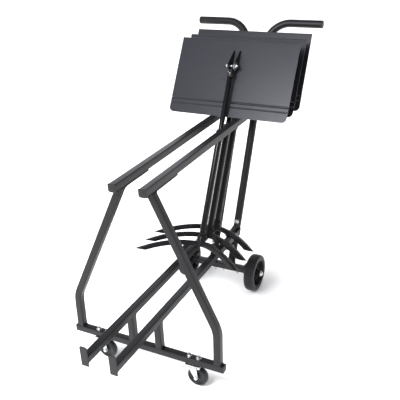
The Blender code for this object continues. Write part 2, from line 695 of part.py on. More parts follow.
def make_head(looks, number, mast):
    """The tilt head: a spigot in the inner tube, a round neck, and a tongue between the ears."""
    shoulder = INNER_TOP + GAP
    foot = INNER_TOP - SPIGOT_DEPTH
    spigot = INNER_BORE - GAP
    radius, height = NECK
    edge = radius / 6
    profile = [(0, foot), (spigot, foot), (spigot, shoulder), (radius, shoulder),
               (radius, shoulder + height - 2 * edge), (radius - edge, shoulder + height), (0, shoulder + height)]
    head = add_object(f"stand_{number}_head", turned(profile, 20), looks["plastic"], mast)
    half, round_radius = TONGUE
    low = shoulder + 0.75 * height - PIVOT_HEIGHT
    outline = [(0.8 * -round_radius, low), (0.8 * round_radius, low)]
    outline += [(round_radius * math.cos(math.radians(a)), round_radius * math.sin(math.radians(a)))
                for a in range(-20, 201, 20)]
    centre = (0, 0, PIVOT_HEIGHT)
    tongue = add_object(f"tongue_{number}", plate(outline, "X", -half, half), looks["plastic"], mast, centre)
    combine(head, tongue, "UNION")
    drill(looks, head, f"tongue_hole_{number}", mast, centre)


def drill(looks, target, name, parent, centre=(0, 0, 0)):
    """The pivot bolt's hole through a piece."""
    hole = rod(PIVOT_RADIUS + GAP, 2 * EAR_HALF_GAP, 16)
    combine(target, add_object(name, hole, looks["zinc"], parent, centre), "DIFFERENCE")


def make_bracket(looks, number, pivot):
    """A channel on the desk's bracket side, with two tapered ears that hold the pivot."""
    back = DESK_OFFSET - GAP
    low, high = BRACKET_ENDS
    outside = EAR_HALF_GAP + EAR_THICKNESS
    corners = [(-outside, low), (outside, low), (outside, BRACKET_WEB), (-outside, BRACKET_WEB)]
    bracket = add_object(f"stand_{number}_bracket", plate(corners, "Y", back - EAR_THICKNESS, back),
                         looks["plastic"], pivot)
    nose = [(EAR_NOSE * math.cos(math.radians(a)), EAR_NOSE * math.sin(math.radians(a)))
            for a in range(165, 286, 20)]
    outline = [(back, low), (back, high), (back - EAR_NOSE / 2, high), *nose, (back - EAR_NOSE / 3, low)]
    for ear in (-1, 1):
        near, far = sorted((ear * EAR_HALF_GAP, ear * outside))
        shape = add_object(f"ear_{number}_{ear}", plate(outline, "X", near, far), looks["plastic"], pivot)
        combine(bracket, shape, "UNION")
    drill(looks, bracket, f"ear_hole_{number}", pivot)


def make_pivot_bolt(looks, number, pivot):
    """A nut, a plain shank and a large disc washer under the bolt's head, as one set."""
    face = EAR_HALF_GAP + EAR_THICKNESS + GAP
    nut, nut_height = PIVOT_NUT
    washer, washer_height = PIVOT_WASHER
    profile = [(0, -face - nut_height), (nut, -face - nut_height), (nut, -face), (PIVOT_RADIUS, -face),
               (PIVOT_RADIUS, face), (washer, face), (washer, face + washer_height), (nut, face + washer_height),
               (nut, face + PIVOT_HEAD_HEIGHT), (0, face + PIVOT_HEAD_HEIGHT)]
    add_object(f"stand_{number}_pivot_bolt", turned(profile, 24, "X"), looks["zinc"], pivot)


def make_desk(looks, number, pivot):
    """A sheet-metal desk stored upside down: the folded shelf is at the top, the free edge below."""
    low = -DESK_BELOW
    high = low + DESK_HEIGHT
    half = DESK_HALF_WIDTH
    panel = rounded([(-half, low), (half, low), (half, high), (-half, high)], [DESK_CORNER, DESK_CORNER, 0, 0])
    desk = add_object(f"stand_{number}_desk", plate(panel, "Y", DESK_OFFSET, DESK_OFFSET + SHEET),
                      looks["desk"], pivot)
    edge = DESK_OFFSET + SHELF_DEPTH
    shelf = rounded([(-half, DESK_OFFSET), (half, DESK_OFFSET), (half, edge), (-half, edge)],
                    [0, 0, DESK_CORNER, DESK_CORNER])
    tools = {
        "shelf": plate(shelf, "Z", high - SHEET, high),
        "lip": block((-half + DESK_CORNER, edge - SHEET, high - SHELF_LIP), (half - DESK_CORNER, edge, high)),
    }
    for name, shape in tools.items():
        combine(desk, add_object(f"{name}_{number}", shape, looks["desk"], pivot), "UNION")


def make_stand(looks, number):
    """A stand's base and outer tube, its mast drawn out of them, and its desk tilted on the mast."""
    place = (0, FRONT_Y + STAND_BEHIND + STAND_PITCH * (number - 1), STAND_HUB_Z)
    stand = add_empty(f"stand_{number}", place, STAND_LEAN)
    mast = add_empty(f"mast_{number}", (0, 0, MAST_RAISE[number]))
    mast.parent = stand
    pivot = add_empty(f"desk_pivot_{number}", (0, 0, PIVOT_HEIGHT), math.radians(DESK_TILT[number]))
    pivot.parent = mast
    make_base(looks, number, stand)
    make_tubes(looks, number, stand, mast)
    make_head(looks, number, mast)
    make_bracket(looks, number, pivot)
    make_pivot_bolt(looks, number, pivot)
    make_desk(looks, number, pivot)


def main():
    for obj in list(bpy.data.objects):
        bpy.data.objects.remove(obj)
    looks = make_finishes()
    make_crossbar(looks)
    make_front_legs(looks)
    make_rails(looks)
    make_supports(looks)
    make_handle(looks)
    make_braces(looks)
    make_rear_axle(looks)
    make_rear_wheels(looks)
    make_casters(looks)
    for number in DESK_TILT:
        make_stand(looks, number)


main()
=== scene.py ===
import json
import math

import bmesh
import bpy
from mathutils import Matrix, Vector


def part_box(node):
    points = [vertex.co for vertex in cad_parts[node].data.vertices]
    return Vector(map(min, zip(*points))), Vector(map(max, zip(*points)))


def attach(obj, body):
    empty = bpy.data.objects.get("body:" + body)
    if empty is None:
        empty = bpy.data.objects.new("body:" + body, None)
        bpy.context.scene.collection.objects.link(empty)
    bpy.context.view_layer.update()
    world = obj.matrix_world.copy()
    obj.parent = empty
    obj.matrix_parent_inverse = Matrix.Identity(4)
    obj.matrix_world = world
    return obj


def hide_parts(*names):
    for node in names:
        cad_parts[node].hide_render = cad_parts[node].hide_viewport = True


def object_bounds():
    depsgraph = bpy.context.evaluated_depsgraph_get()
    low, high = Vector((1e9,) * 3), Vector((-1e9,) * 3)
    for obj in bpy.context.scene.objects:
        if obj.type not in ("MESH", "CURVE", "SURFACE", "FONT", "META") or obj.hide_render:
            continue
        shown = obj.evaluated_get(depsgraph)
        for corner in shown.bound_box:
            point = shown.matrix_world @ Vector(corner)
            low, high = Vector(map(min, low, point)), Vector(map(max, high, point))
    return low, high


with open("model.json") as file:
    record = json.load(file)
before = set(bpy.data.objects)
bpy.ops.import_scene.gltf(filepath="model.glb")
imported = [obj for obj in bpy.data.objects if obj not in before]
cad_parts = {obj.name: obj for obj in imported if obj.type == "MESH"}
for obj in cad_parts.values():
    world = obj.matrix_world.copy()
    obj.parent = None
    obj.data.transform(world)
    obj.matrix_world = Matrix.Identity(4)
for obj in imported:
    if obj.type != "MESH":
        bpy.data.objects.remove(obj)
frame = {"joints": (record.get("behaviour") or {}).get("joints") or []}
cad_low, cad_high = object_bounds()

GAP = 0.0003
SIDES = {"left": -1, "right": 1}
STANDS = (1, 2, 3)

# Sizes in metres. All but the stands' legs are the same as the solids'.
WALL = 0.0018
CORNER = 0.0030                   # outside corner radius of the square tubes
HANDLE_RADIUS = 0.0159
GRIP_BEND_RADIUS = 0.100
POST_SLOPE = 0.4700               # how far the handle posts lean back for each metre of height
POST_LEAN = math.sqrt(1 + POST_SLOPE ** 2)
FRONT_LEG_BEND_RADIUS = 0.110
FRONT_LEG_BEND_Z = 0.2420
FRONT_LEG_LEAN = 0.0350           # how far the front legs lean back for each metre of height
FRONT_LEG_TOP_X = 0.0565
SADDLE_WIDTH = 0.0270
SADDLE_LENGTH = 0.1950
SADDLE_THICK = 0.0040
BRACE_WIDTH = 0.0200
BRACE_THICK = 0.0040
BRACE_TAB = 0.0320                # length of a brace's flat ends
BRACE_RUN = 0.0600                # how far its slanted middle reaches forward
POST_BOLT_Z = 0.1670
AXLE_RADIUS = 0.00635
WHEEL_RADIUS = 0.0775
WHEEL_HALF = 0.0215
RIM_RADIUS = 0.0570
HUB_PROUD = 0.0060
CASTER_RADIUS = 0.0370
CASTER_HALF = 0.0120
OUTER_RADIUS = 0.0127
INNER_RADIUS = 0.0100
COLLAR_TOP = 0.4520
COLLAR_LENGTH = 0.0400
INNER_TOP = 0.6635
PIVOT_HEIGHT = 0.7095
PIVOT_RADIUS = 0.0040
MAST_RAISE = {1: 0.0, 2: 0.0, 3: 0.0050}
DESK_TILT = {1: 3.0, 2: 3.0, 3: 0.0}
DESK_HALF = 0.2555
DESK_BELOW = 0.2000
DESK_HEIGHT = 0.3185
DESK_OFFSET = 0.0290
SHEET = 0.0012
SHELF_DEPTH = 0.0300
SHELF_LIP = 0.0100
EAR_INNER = 0.0118
EAR_OUTER = 0.0143
BRACKET_BOTTOM = -0.0240
BRACKET_WEB_TOP = 0.0160
BRACKET_TOP = 0.0720
DESK_CORNER = 0.0200
DESK_BEND = 0.0026
CREASES = ((0.190, 0.0056, 0.0030), (0.128, 0.0036, 0.0020))  # share of the height, half width, depth
NECK_RADIUS = 0.0130
LEG_ANGLES = (60, -60, 180)
LEG_START = 0.0120
LEG_REACH = 0.2440
LEG_ROOT_DROP = 0.0090
LEG_DROP = 0.0735
LEG_FLOOR = -0.0655
LEG_HEIGHT = 0.0165
LEG_WIDTH = 0.0220


# ---------------------------------------------------------------- places, read from the solids

def low(node):
    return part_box(node)[0]


def high(node):
    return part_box(node)[1]


def middle(node):
    lowest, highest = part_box(node)
    return (lowest + highest) / 2


joints = {joint["name"]: joint for joint in frame["joints"]}
BAR = middle("front_crossbar")
BAR_SIDE = high("front_crossbar").z - low("front_crossbar").z
FRONT_Y = BAR.y
RAIL_SIDE = high("upper_rail_left").x - low("upper_rail_left").x
AXLE = middle("rear_axle")


# ---------------------------------------------------------------- materials

RANGE_SOCKETS = ("From Min", "From Max", "To Min", "To Max")


class Look:
    """A Principled material and short ways to add the nodes that vary it."""

    def __init__(self, name, roughness, metallic=0.0, specular=0.5):
        self.material = bpy.data.materials.new(name)
        self.material.use_nodes = True
        self.tree = self.material.node_tree
        self.shader = self.tree.nodes["Principled BSDF"]
        self.shader.inputs["Roughness"].default_value = roughness
        self.shader.inputs["Metallic"].default_value = metallic
        self.shader.inputs["Specular IOR Level"].default_value = specular
        self.place = self.tree.nodes.new("ShaderNodeTexCoord").outputs["Object"]

    def node(self, kind, **values):
        node = self.tree.nodes.new(kind)
        for key, value in values.items():
            if key in node.inputs.keys():
                node.inputs[key].default_value = value
            else:
                setattr(node, key, value)
        return node

    def link(self, start, end):
        self.tree.links.new(start, end)

    def noise(self, scale, detail, roughness=0.55):
        node = self.node("ShaderNodeTexNoise", Scale=scale, Detail=detail, Roughness=roughness)
        self.link(self.place, node.inputs["Vector"])
        return node.outputs["Fac"]

    def spread(self, value, start, end, low_out, high_out):
        node = self.node("ShaderNodeMapRange")
        for key, number in zip(RANGE_SOCKETS, (start, end, low_out, high_out)):
            node.inputs[key].default_value = number
        self.link(value, node.inputs["Value"])
        return node.outputs["Result"]

    def mix(self, factor, first, second):
        """Mixes two colours, or a colour with an earlier mix."""
        node = self.node("ShaderNodeMix", data_type="RGBA")
        self.link(factor, node.inputs["Factor"])
        for socket, value in ((node.inputs[6], first), (node.inputs[7], second)):
            if isinstance(value, tuple):
                socket.default_value = (*value, 1.0)
            else:
                self.link(value, socket)
        return node.outputs[2]

    def bump(self, height, distance, strength=1.0, after=None):
        node = self.node("ShaderNodeBump", Distance=distance, Strength=strength)
        self.link(height, node.inputs["Height"])
        if after is not None:
            self.link(after, node.inputs["Normal"])
        return node.outputs["Normal"]

    def colour(self, value):
        if isinstance(value, tuple):
            self.shader.inputs["Base Color"].default_value = (*value, 1.0)
        else:
            self.link(value, self.shader.inputs["Base Color"])

    def rough(self, value):
        self.link(value, self.shader.inputs["Roughness"])

    def normal(self, value):
        self.link(value, self.shader.inputs["Normal"])


def scaled(colour, factor):
    return tuple(channel * factor for channel in colour)


def powder_coat(name, colour, roughness, grain=900.0, depth=0.00006, dust=0.0, specular=0.5):
    """Baked paint: an even colour with faint clouds, a fine pebbled skin and a little settled dust."""
    look = Look(name, roughness=roughness, specular=specular)
    clouds = look.spread(look.noise(7.0, 4.0), 0.3, 0.7, 0.0, 1.0)
    base = look.mix(clouds, scaled(colour, 0.94), scaled(colour, 1.06))
    speck = look.spread(look.noise(grain * 0.9, 2.0), 0.66, 0.78, 0.0, 0.30)
    base = look.mix(speck, base, scaled(colour, 2.2))
    if dust:
        settled = look.spread(look.noise(26.0, 5.0, 0.65), 0.52, 0.80, 0.0, dust)
        base = look.mix(settled, base, (0.20, 0.20, 0.20))
    look.colour(base)
    look.rough(look.spread(look.noise(38.0, 4.0), 0.3, 0.7, roughness - 0.015, roughness + 0.02))
    pebbles = look.bump(look.noise(grain, 2.0), depth, 0.7)
    look.normal(look.bump(look.noise(grain / 6, 2.0), depth * 2.5, 0.35, pebbles))
    return look.material


def enamel(name, colour, roughness):
    """Smooth glossy paint on drawn tube: long faint ripples and fine scuffs."""
    look = Look(name, roughness=roughness, specular=0.30)
    clouds = look.spread(look.noise(12.0, 3.0), 0.35, 0.7, 0.0, 1.0)
    look.colour(look.mix(clouds, scaled(colour, 0.8), scaled(colour, 1.3)))
    scuffs = look.noise(60.0, 5.0, 0.7)
    look.rough(look.spread(scuffs, 0.50, 0.85, roughness, roughness + 0.08))
    look.normal(look.bump(look.noise(500.0, 2.0), 0.000004, 0.2))
    return look.material


def plated(name, colour, roughness):
    """Bright zinc plate: bluish and yellowish patches over a finely brushed surface."""
    look = Look(name, roughness=roughness, metallic=1.0)
    patches = look.spread(look.noise(70.0, 4.0), 0.35, 0.68, 0.0, 1.0)
    yellowish = (colour[0] * 1.05, colour[1] * 1.04, colour[2] * 0.98)
    tinted = look.mix(patches, scaled(colour, 0.86), yellowish)
    spots = look.spread(look.noise(420.0, 3.0), 0.62, 0.75, 0.0, 0.5)
    look.colour(look.mix(spots, tinted, scaled(colour, 0.6)))
    look.rough(look.spread(look.noise(240.0, 4.0), 0.3, 0.75, roughness - 0.06, roughness + 0.14))
    look.normal(look.bump(look.noise(900.0, 2.0), 0.00004, 0.5))
    return look.material


def moulded(name, colour, roughness, grain=700.0, depth=0.00008, specular=0.5):
    """Moulded plastic or rubber with a fine spark-eroded texture and slightly mottled colour."""
    look = Look(name, roughness=roughness, specular=specular)
    mottling = look.spread(look.noise(45.0, 4.0), 0.3, 0.7, 0.0, 1.0)
    look.colour(look.mix(mottling, scaled(colour, 0.82), scaled(colour, 1.2)))
    look.rough(look.spread(look.noise(90.0, 3.0), 0.3, 0.7, roughness - 0.07, roughness + 0.07))
    look.normal(look.bump(look.noise(grain, 3.0), depth, 0.7))
    return look.material


def worn_rubber(name, colour, dust):
    """Tyre rubber: matte, with pale floor dust rubbed into the tread."""
    look = Look(name, roughness=0.5, specular=0.36)
    mottling = look.spread(look.noise(60.0, 5.0, 0.65), 0.3, 0.7, 0.0, 1.0)
    base = look.mix(mottling, scaled(colour, 0.8), scaled(colour, 1.25))
    rubbed = look.spread(look.noise(24.0, 5.0, 0.7), 0.48, 0.80, 0.0, dust)
    look.colour(look.mix(rubbed, base, (0.19, 0.185, 0.18)))
    look.rough(look.spread(look.noise(130.0, 3.0), 0.3, 0.7, 0.40, 0.58))
    look.normal(look.bump(look.noise(650.0, 3.0), 0.00005, 0.6))
    return look.material


LOOKS = {
    "frame": powder_coat("frame_paint", (0.0070, 0.0070, 0.0079), 0.40, dust=0.018, specular=0.30),
    "desk": powder_coat("desk_paint", (0.0125, 0.0130, 0.0172), 0.36, 1100.0, 0.00003, specular=0.42),
    "tube": enamel("tube_enamel", (0.003, 0.003, 0.0035), 0.20),
    "base": enamel("base_enamel", (0.004, 0.004, 0.0045), 0.26),
    "cap": moulded("cap_plastic", (0.009, 0.009, 0.010), 0.50, specular=0.4),
    "head": moulded("head_plastic", (0.006, 0.006, 0.007), 0.36, depth=0.00003, specular=0.4),
    "zinc": plated("zinc_plate", (0.74, 0.75, 0.78), 0.26),
    "axle": plated("axle_steel", (0.60, 0.61, 0.64), 0.30),
    "caster": worn_rubber("caster_rubber", (0.007, 0.008, 0.0095), 0.05),
    "tyre": worn_rubber("tyre_rubber", (0.008, 0.008, 0.009), 0.06),
    "wheel": moulded("wheel_plastic", (0.009, 0.0095, 0.011), 0.46, specular=0.4),
}


# ---------------------------------------------------------------- outlines and paths

def circle(radius, steps):
    return [(radius * math.cos(2 * math.pi * i / steps), radius * math.sin(2 * math.pi * i / steps))
            for i in range(steps)]


def rounded(corners, radii, steps=6):
    """An outline through the corners, each replaced by an arc of its own radius."""
    outline = []
    count = len(corners)
    for i, radius in enumerate(radii):
        here = Vector(corners[i])
        before = (Vector(corners[i - 1]) - here).normalized()
        after = (Vector(corners[(i + 1) % count]) - here).normalized()
        if radius == 0:
            outline.append(tuple(here))
            continue
        half = before.angle(after) / 2
        start = here + before * (radius / math.tan(half))
        centre = here + (before + after).normalized() * (radius / math.sin(half))
        turn = (start - centre).angle_signed(here + after * (radius / math.tan(half)) - centre)
        for step in range(steps + 1):
            outline.append(tuple(centre + Matrix.Rotation(-turn * step / steps, 2) @ (start - centre)))
    return outline


def rectangle(left, bottom, right, top):
    return [(left, bottom), (right, bottom), (right, top), (left, top)]


def box_outline(width, height, radius, steps=6):
    return rounded(rectangle(-width / 2, -height / 2, width / 2, height / 2), [radius] * 4, steps)


def arc(radius, start, sweep_angle, steps, centre=(0.0, 0.0)):
    """Points on an arc; the angles are in degrees."""
    turns = [math.radians(start + sweep_angle * i / steps) for i in range(steps + 1)]
    return [(centre[0] + radius * math.cos(a), centre[1] + radius * math.sin(a)) for a in turns]


def bent_path(start, corner, end, radius, steps=20):
    start, corner, end = Vector(start), Vector(corner), Vector(end)
    before = (start - corner).normalized()
    after = (end - corner).normalized()
    half = before.angle(after) / 2
    centre = corner + (before + after).normalized() * (radius / math.sin(half))
    first = corner + before * (radius / math.tan(half)) - centre
    last = corner + after * (radius / math.tan(half)) - centre
    turn = first.angle(last)
    axis = first.cross(last).normalized()
    bend = [centre + Matrix.Rotation(turn * i / steps, 3, axis) @ first for i in range(steps + 1)]
    return [start, *bend, end]


def soft_path(points, radius, steps=6):
    """A polyline whose inner corners are bends of one radius."""
    points = [Vector(point) for point in points]
    path = [points[0]]
    for before, corner, after in zip(points, points[1:], points[2:]):
        path += bent_path(before, corner, after, radius, steps)[1:-1]
    return [*path, points[-1]]


# ---------------------------------------------------------------- solids

def skin(bm, rows, ring=False, caps=True):
    """Faces between neighbouring loops of vertices; a loop of one vertex is a pole."""
    pairs = list(zip(rows, rows[1:]))
    if ring:
        pairs.append((rows[-1], rows[0]))
    for near, far in pairs:
        steps = max(len(near), len(far))
        for j in range(steps):
            k = (j + 1) % steps
            corners = [near[j % len(near)], near[k % len(near)], far[k % len(far)], far[j % len(far)]]
            bm.faces.new(list(dict.fromkeys(corners)))
    if caps and not ring:
        for row in (rows[0], rows[-1]):
            if len(row) > 1:
                bm.faces.new(row)
    return bm


def sweep(path, section, normal, bore=None):
    """A section carried along a planar path, with a hole through it if it has a bore."""
    bm = bmesh.new()
    path = [Vector(point) for point in path]
    normal = Vector(normal).normalized()
    skins = []
    for outline in [section] if bore is None else [section, bore]:
        rows = []
        for i, point in enumerate(path):
            into = (point - path[i - 1]).normalized() if i else (path[1] - point).normalized()
            out = (path[i + 1] - point).normalized() if i + 1 < len(path) else into
            along = (into + out).normalized()
            mitre = 1 / max(along.dot(into), 0.5)
            side = along.cross(normal)
            rows.append([bm.verts.new(point + normal * a + side * b * mitre) for a, b in outline])
        skin(bm, rows, caps=bore is None)
        skins.append(rows)
    if bore is not None:
        for end in (0, -1):
            skin(bm, [skins[0][end], skins[1][end]], caps=False)
    return bm


def square_tube(path, side, normal):
    bore = side - 2 * WALL
    return sweep(path, box_outline(side, side, CORNER), normal, box_outline(bore, bore, CORNER - WALL))


def plate(outline, axis, start, end):
    """A flat outline given a thickness along one axis."""
    bm = bmesh.new()
    place = {
        "X": lambda a, b, c: (c, a, b),
        "Y": lambda a, b, c: (a, c, b),
        "Z": lambda a, b, c: (a, b, c),
    }[axis]
    return skin(bm, [[bm.verts.new(place(a, b, c)) for a, b in outline] for c in (start, end)])


def turned(profile, steps, axis="Z", ring=False):
    """A profile of (radius, height) turned about an axis; a ring's profile closes on itself."""
    bm = bmesh.new()
    rows = []
    for radius, height in profile:
        outline = circle(radius, steps) if radius else [(0, 0)]
        rows.append([bm.verts.new((a, b, height)) for a, b in outline])
    skin(bm, rows, ring)
    if axis == "X":
        bm.transform(Matrix.Rotation(math.radians(90), 4, "Y"))
    if axis == "Y":
        bm.transform(Matrix.Rotation(math.radians(-90), 4, "X"))
    return bm


def merge(target, *others):
    """Copies other meshes into the target."""
    for other in others:
        mesh = bpy.data.meshes.new("part")
        other.to_mesh(mesh)
        other.free()
        target.from_mesh(mesh)
        bpy.data.meshes.remove(mesh)
    return target


def moved(bm, matrix):
    bm.transform(matrix)
    return bm


def at(x, y, z):
    return Matrix.Translation((x, y, z))


def piece(name, bm, look, body, replaces=(), bevel=0.0, place=None, angle=40):
    """Turns a bmesh into a shaded piece of the object that rides on a body."""
    if place is not None:
        bm.transform(place)
    bmesh.ops.recalc_face_normals(bm, faces=bm.faces)
    mesh = bpy.data.meshes.new(name)
    bm.to_mesh(mesh)
    bm.free()
    mesh.shade_smooth()
    mesh.set_sharp_from_angle(angle=math.radians(angle))
    mesh.materials.append(LOOKS[look])
    obj = bpy.data.objects.new(name, mesh)
    bpy.context.scene.collection.objects.link(obj)
    if bevel:
        modifier = obj.modifiers.new("edges", "BEVEL")
        modifier.width = bevel
        modifier.segments = 2
        modifier.limit_method = "ANGLE"
        modifier.angle_limit = math.radians(angle)
        modifier.harden_normals = True
    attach(obj, body)
    if replaces:
        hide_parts(*([replaces] if isinstance(replaces, str) else replaces))
    return obj


# ---------------------------------------------------------------- hardware

def washer(radius, bore, thickness):
    edge = thickness * 0.25
    return turned([(bore, 0), (radius - edge, 0), (radius, edge), (radius, thickness - edge),
                   (radius - edge, thickness), (bore, thickness)], 40, ring=True)


def hex_head(across, height, base=0.0):
    """A hexagon whose top is chamfered towards a round face."""
    bm = bmesh.new()
    steps, slant, crown = 48, 0.55, 0.46
    rows = [[], [], []]
    for i in range(steps):
        turn = 2 * math.pi * i / steps
        reach = across / 2 / math.cos((turn + math.pi / 6) % (math.pi / 3) - math.pi / 6)
        fall = (reach - across / 2) * slant
        for row, radius, lift in zip(rows, (reach, reach, across * crown), (0.0, height - fall, height)):
            row.append(bm.verts.new((radius * math.sin(turn), radius * math.cos(turn), base + lift)))
    return skin(bm, rows)


def bolt_end(radius, start, length):
    """The end of a threaded bolt: real ridges and a chamfered tip."""
    pitch = radius * 0.30
    profile = [(0, start)]
    height = start
    while height < start + length - pitch:
        profile += [(radius, height), (radius * 0.84, height + pitch / 2)]
        height += pitch
    profile += [(radius, height), (radius * 0.75, start + length), (0, start + length)]
    return turned(profile, 20)


def bolt_set(across, washer_radius, thread=0.0):
    """A washer with a hex head on it, or a nut with the bolt's end showing."""
    thick = 0.0014
    bm = washer(washer_radius, across * 0.22, thick)
    merge(bm, hex_head(across, across * 0.5, thick))
    if thread:
        merge(bm, bolt_end(across * 0.31, thick + across * 0.5, thread))
    return bm


def carriage_head(radius, washer_radius=0.0):
    """A domed head, on a washer if it has one."""
    dome = ((1.0, 0), (0.97, 0.10), (0.80, 0.30), (0.50, 0.45), (0.22, 0.52), (0, 0.54))
    bm = turned([(radius * share, radius * lift) for share, lift in dome], 32)
    if washer_radius:
        thick = 0.0012
        bm.transform(at(0, 0, thick))
        merge(bm, washer(washer_radius, radius * 0.5, thick))
    return bm


def facing(direction, place):
    """Turns +Z to a direction and moves to a place."""
    turn = Vector((0, 0, 1)).rotation_difference(Vector(direction)).to_matrix().to_4x4()
    return Matrix.Translation(place) @ turn


def weld_bead(points, radius=0.0022, closed=True):
    """A bead of small overlapping ripples laid along a line of points."""
    ripple, sides, dip = 0.0011, 8, 0.86
    points = [Vector(p) for p in points]
    if closed:
        points.append(points[0])
    line = []
    for a, b in zip(points, points[1:]):
        count = max(1, round((b - a).length / ripple))
        line += [a.lerp(b, i / count) for i in range(count)]
    if not closed:
        line.append(points[-1])
    bm = bmesh.new()
    count = len(line)
    rows = []
    for i, point in enumerate(line):
        before = line[i - 1] if i or closed else line[0]
        after = line[(i + 1) % count] if i + 1 < count or closed else line[-1]
        along = (after - before).normalized()
        side = along.orthogonal() if abs(along.z) > 0.9 else along.cross(Vector((0, 0, 1)))
        side.normalize()
        up = side.cross(along)
        swell = radius * (1.0 if i % 2 else dip)
        rows.append([bm.verts.new(point + (side * a + up * b) * swell) for a, b in circle(1.0, sides)])
    return skin(bm, rows, ring=closed)


def level_square(x, y, z, side):
    """The four corners of a level square, for a weld around an upright tube."""
    half = side / 2
    return [(a, b, z) for a, b in rectangle(x - half, y - half, x + half, y + half)]


def end_square(x, y, z, side, slope=0.0):
    """The four corners of a square that faces along Y, leaning back by a slope."""
    half = side / 2
    return [(x + a, y + slope * b, z + b) for a, b in rectangle(-half, -half, half, half)]


# ---------------------------------------------------------------- front frame

def tube_plug(name, node, width, end, direction, radii=(0.0045, 0.0035), overlap=0.0004):
    """A plastic plug: a pillow-shaped flange over a tube's end, and its boss inside.

    The radii are those of the flange's lower and upper corners.
    """
    out, up = Vector(direction), Vector((0, 0, 1))
    across = out.cross(up)
    bm = bmesh.new()
    half = width / 2 + overlap
    boss = -WALL - 0.0005
    rows = []
    for along, grow in ((-0.012, boss), (0.0002, boss), (0.0003, 0.0), (0.0026, 0.0), (0.0036, -0.0008),
                        (0.0041, -0.0022)):
        h = half + grow
        lower, upper = [max(0.0008, radius + grow) for radius in radii]
        outline = rounded(rectangle(-h, -h, h, h), [lower, lower, upper, upper])
        rows.append([bm.verts.new(Vector(end) + out * along + across * a + up * b) for a, b in outline])
    piece(name, skin(bm, rows), "cap", "cart", node)


def make_crossbar():
    ends = [(low("front_crossbar").x, FRONT_Y, BAR.z), (high("front_crossbar").x, FRONT_Y, BAR.z)]
    piece("crossbar_tube", square_tube(ends, BAR_SIDE, (0, 0, 1)), "frame", "cart", "front_crossbar")
    for (side, sign), end in zip(SIDES.items(), ends):
        tube_plug(f"crossbar_end_{side}", f"crossbar_plug_{side}", BAR_SIDE, end, (sign, 0, 0))


def make_front_legs():
    """Bent tubes on the crossbar, each under a saddle plate welded to its rail."""
    foot_z = BAR.z + BAR_SIDE / 2 + GAP
    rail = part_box("upper_rail_left")
    saddle_low = rail[0].z - GAP - SADDLE_THICK
    front = rail[0].y + 0.006
    for side, sign in SIDES.items():
        node = f"front_leg_{side}"
        leg_x = sign * (max(abs(low(node).x), abs(high(node).x)) - BAR_SIDE / 2)
        corners = [(leg_x, foot_z), (leg_x, FRONT_LEG_BEND_Z), (sign * FRONT_LEG_TOP_X, saddle_low)]
        foot, knee, top = [(x, FRONT_Y + FRONT_LEG_LEAN * (z - foot_z), z) for x, z in corners]
        path = bent_path(foot, knee, top, FRONT_LEG_BEND_RADIUS)
        bm = square_tube(path, BAR_SIDE, (0, 1, -FRONT_LEG_LEAN))
        cut_level(bm, path[0], foot_z, BAR_SIDE)
        cut_level(bm, path[-1], saddle_low + 0.0006, BAR_SIDE)
        piece(f"leg_{side}", bm, "frame", "cart", node)
        rail_x = sign * abs(middle("upper_rail_left").x)
        outline = rounded(rectangle(rail_x - SADDLE_WIDTH / 2, front,
                                    rail_x + SADDLE_WIDTH / 2, front + SADDLE_LENGTH),
                          [0.001, 0.001, 0.004, 0.004], 4)
        piece(f"saddle_{side}", plate(outline, "Z", saddle_low, saddle_low + SADDLE_THICK),
              "frame", "cart", bevel=0.0006)
        bead = weld_bead(level_square(leg_x, FRONT_Y, foot_z, BAR_SIDE - 0.001), 0.0020)
        piece(f"leg_foot_weld_{side}", bead, "frame", "cart")
        half, slant = BAR_SIDE / 2, 1.10
        line = [(top[0] + a * slant, top[1] + b, saddle_low - 0.0006)
                for a, b in rectangle(-half, -half, half, half)]
        piece(f"leg_top_weld_{side}", weld_bead(line, 0.0018), "frame", "cart")


def cut_level(bm, end, height, side):
    """Slides a slanted tube's end ring along the tube to one height."""
    for vert in [v for v in bm.verts if (v.co - end).length < side]:
        neighbours = [edge.other_vert(vert).co for edge in vert.link_edges]
        run = vert.co - max(neighbours, key=lambda co: (co - end).length)
        vert.co += run * ((height - vert.co.z) / run.z)


def make_rails():
    """Square tubes cut to the posts' slope at the back, with a plug or an end stop in front."""
    rise = POST_SLOPE * RAIL_SIDE / 2
    for level in ("upper", "lower"):
        for side in SIDES:
            node = f"{level}_rail_{side}"
            z, x = middle(node).z, middle(node).x
            front, back = low(node).y, high(node).y - rise
            bm = square_tube([(x, front, z), (x, back, z)], RAIL_SIDE, (0, 0, 1))
            for vert in bm.verts:
                if vert.co.y > back - 0.001:
                    vert.co.y += POST_SLOPE * (vert.co.z - z)
            piece(f"rail_{level}_{side}", bm, "frame", "cart", node)
            if level == "upper":
                ring = turned([(0.0052, 0.0036), (0.0070, 0.0036), (0.0070, 0.0046), (0.0066, 0.0050),
                               (0.0056, 0.0050), (0.0052, 0.0046)], 32, ring=True)
                piece(f"rail_end_ring_{side}", ring, "cap", "cart", place=facing((0, -1, 0), (x, front, z)))
                tube_plug(f"rail_end_{side}", f"rail_cap_{side}", RAIL_SIDE, (x, front, z), (0, -1, 0),
                          (0.0078, 0.0032), 0.0012)
            else:
                make_stop(side, x, front)
            line = end_square(x, back - 0.0004, z, RAIL_SIDE, POST_SLOPE)
            piece(f"rail_weld_{level}_{side}", weld_bead(line, 0.0020), "frame", "cart")


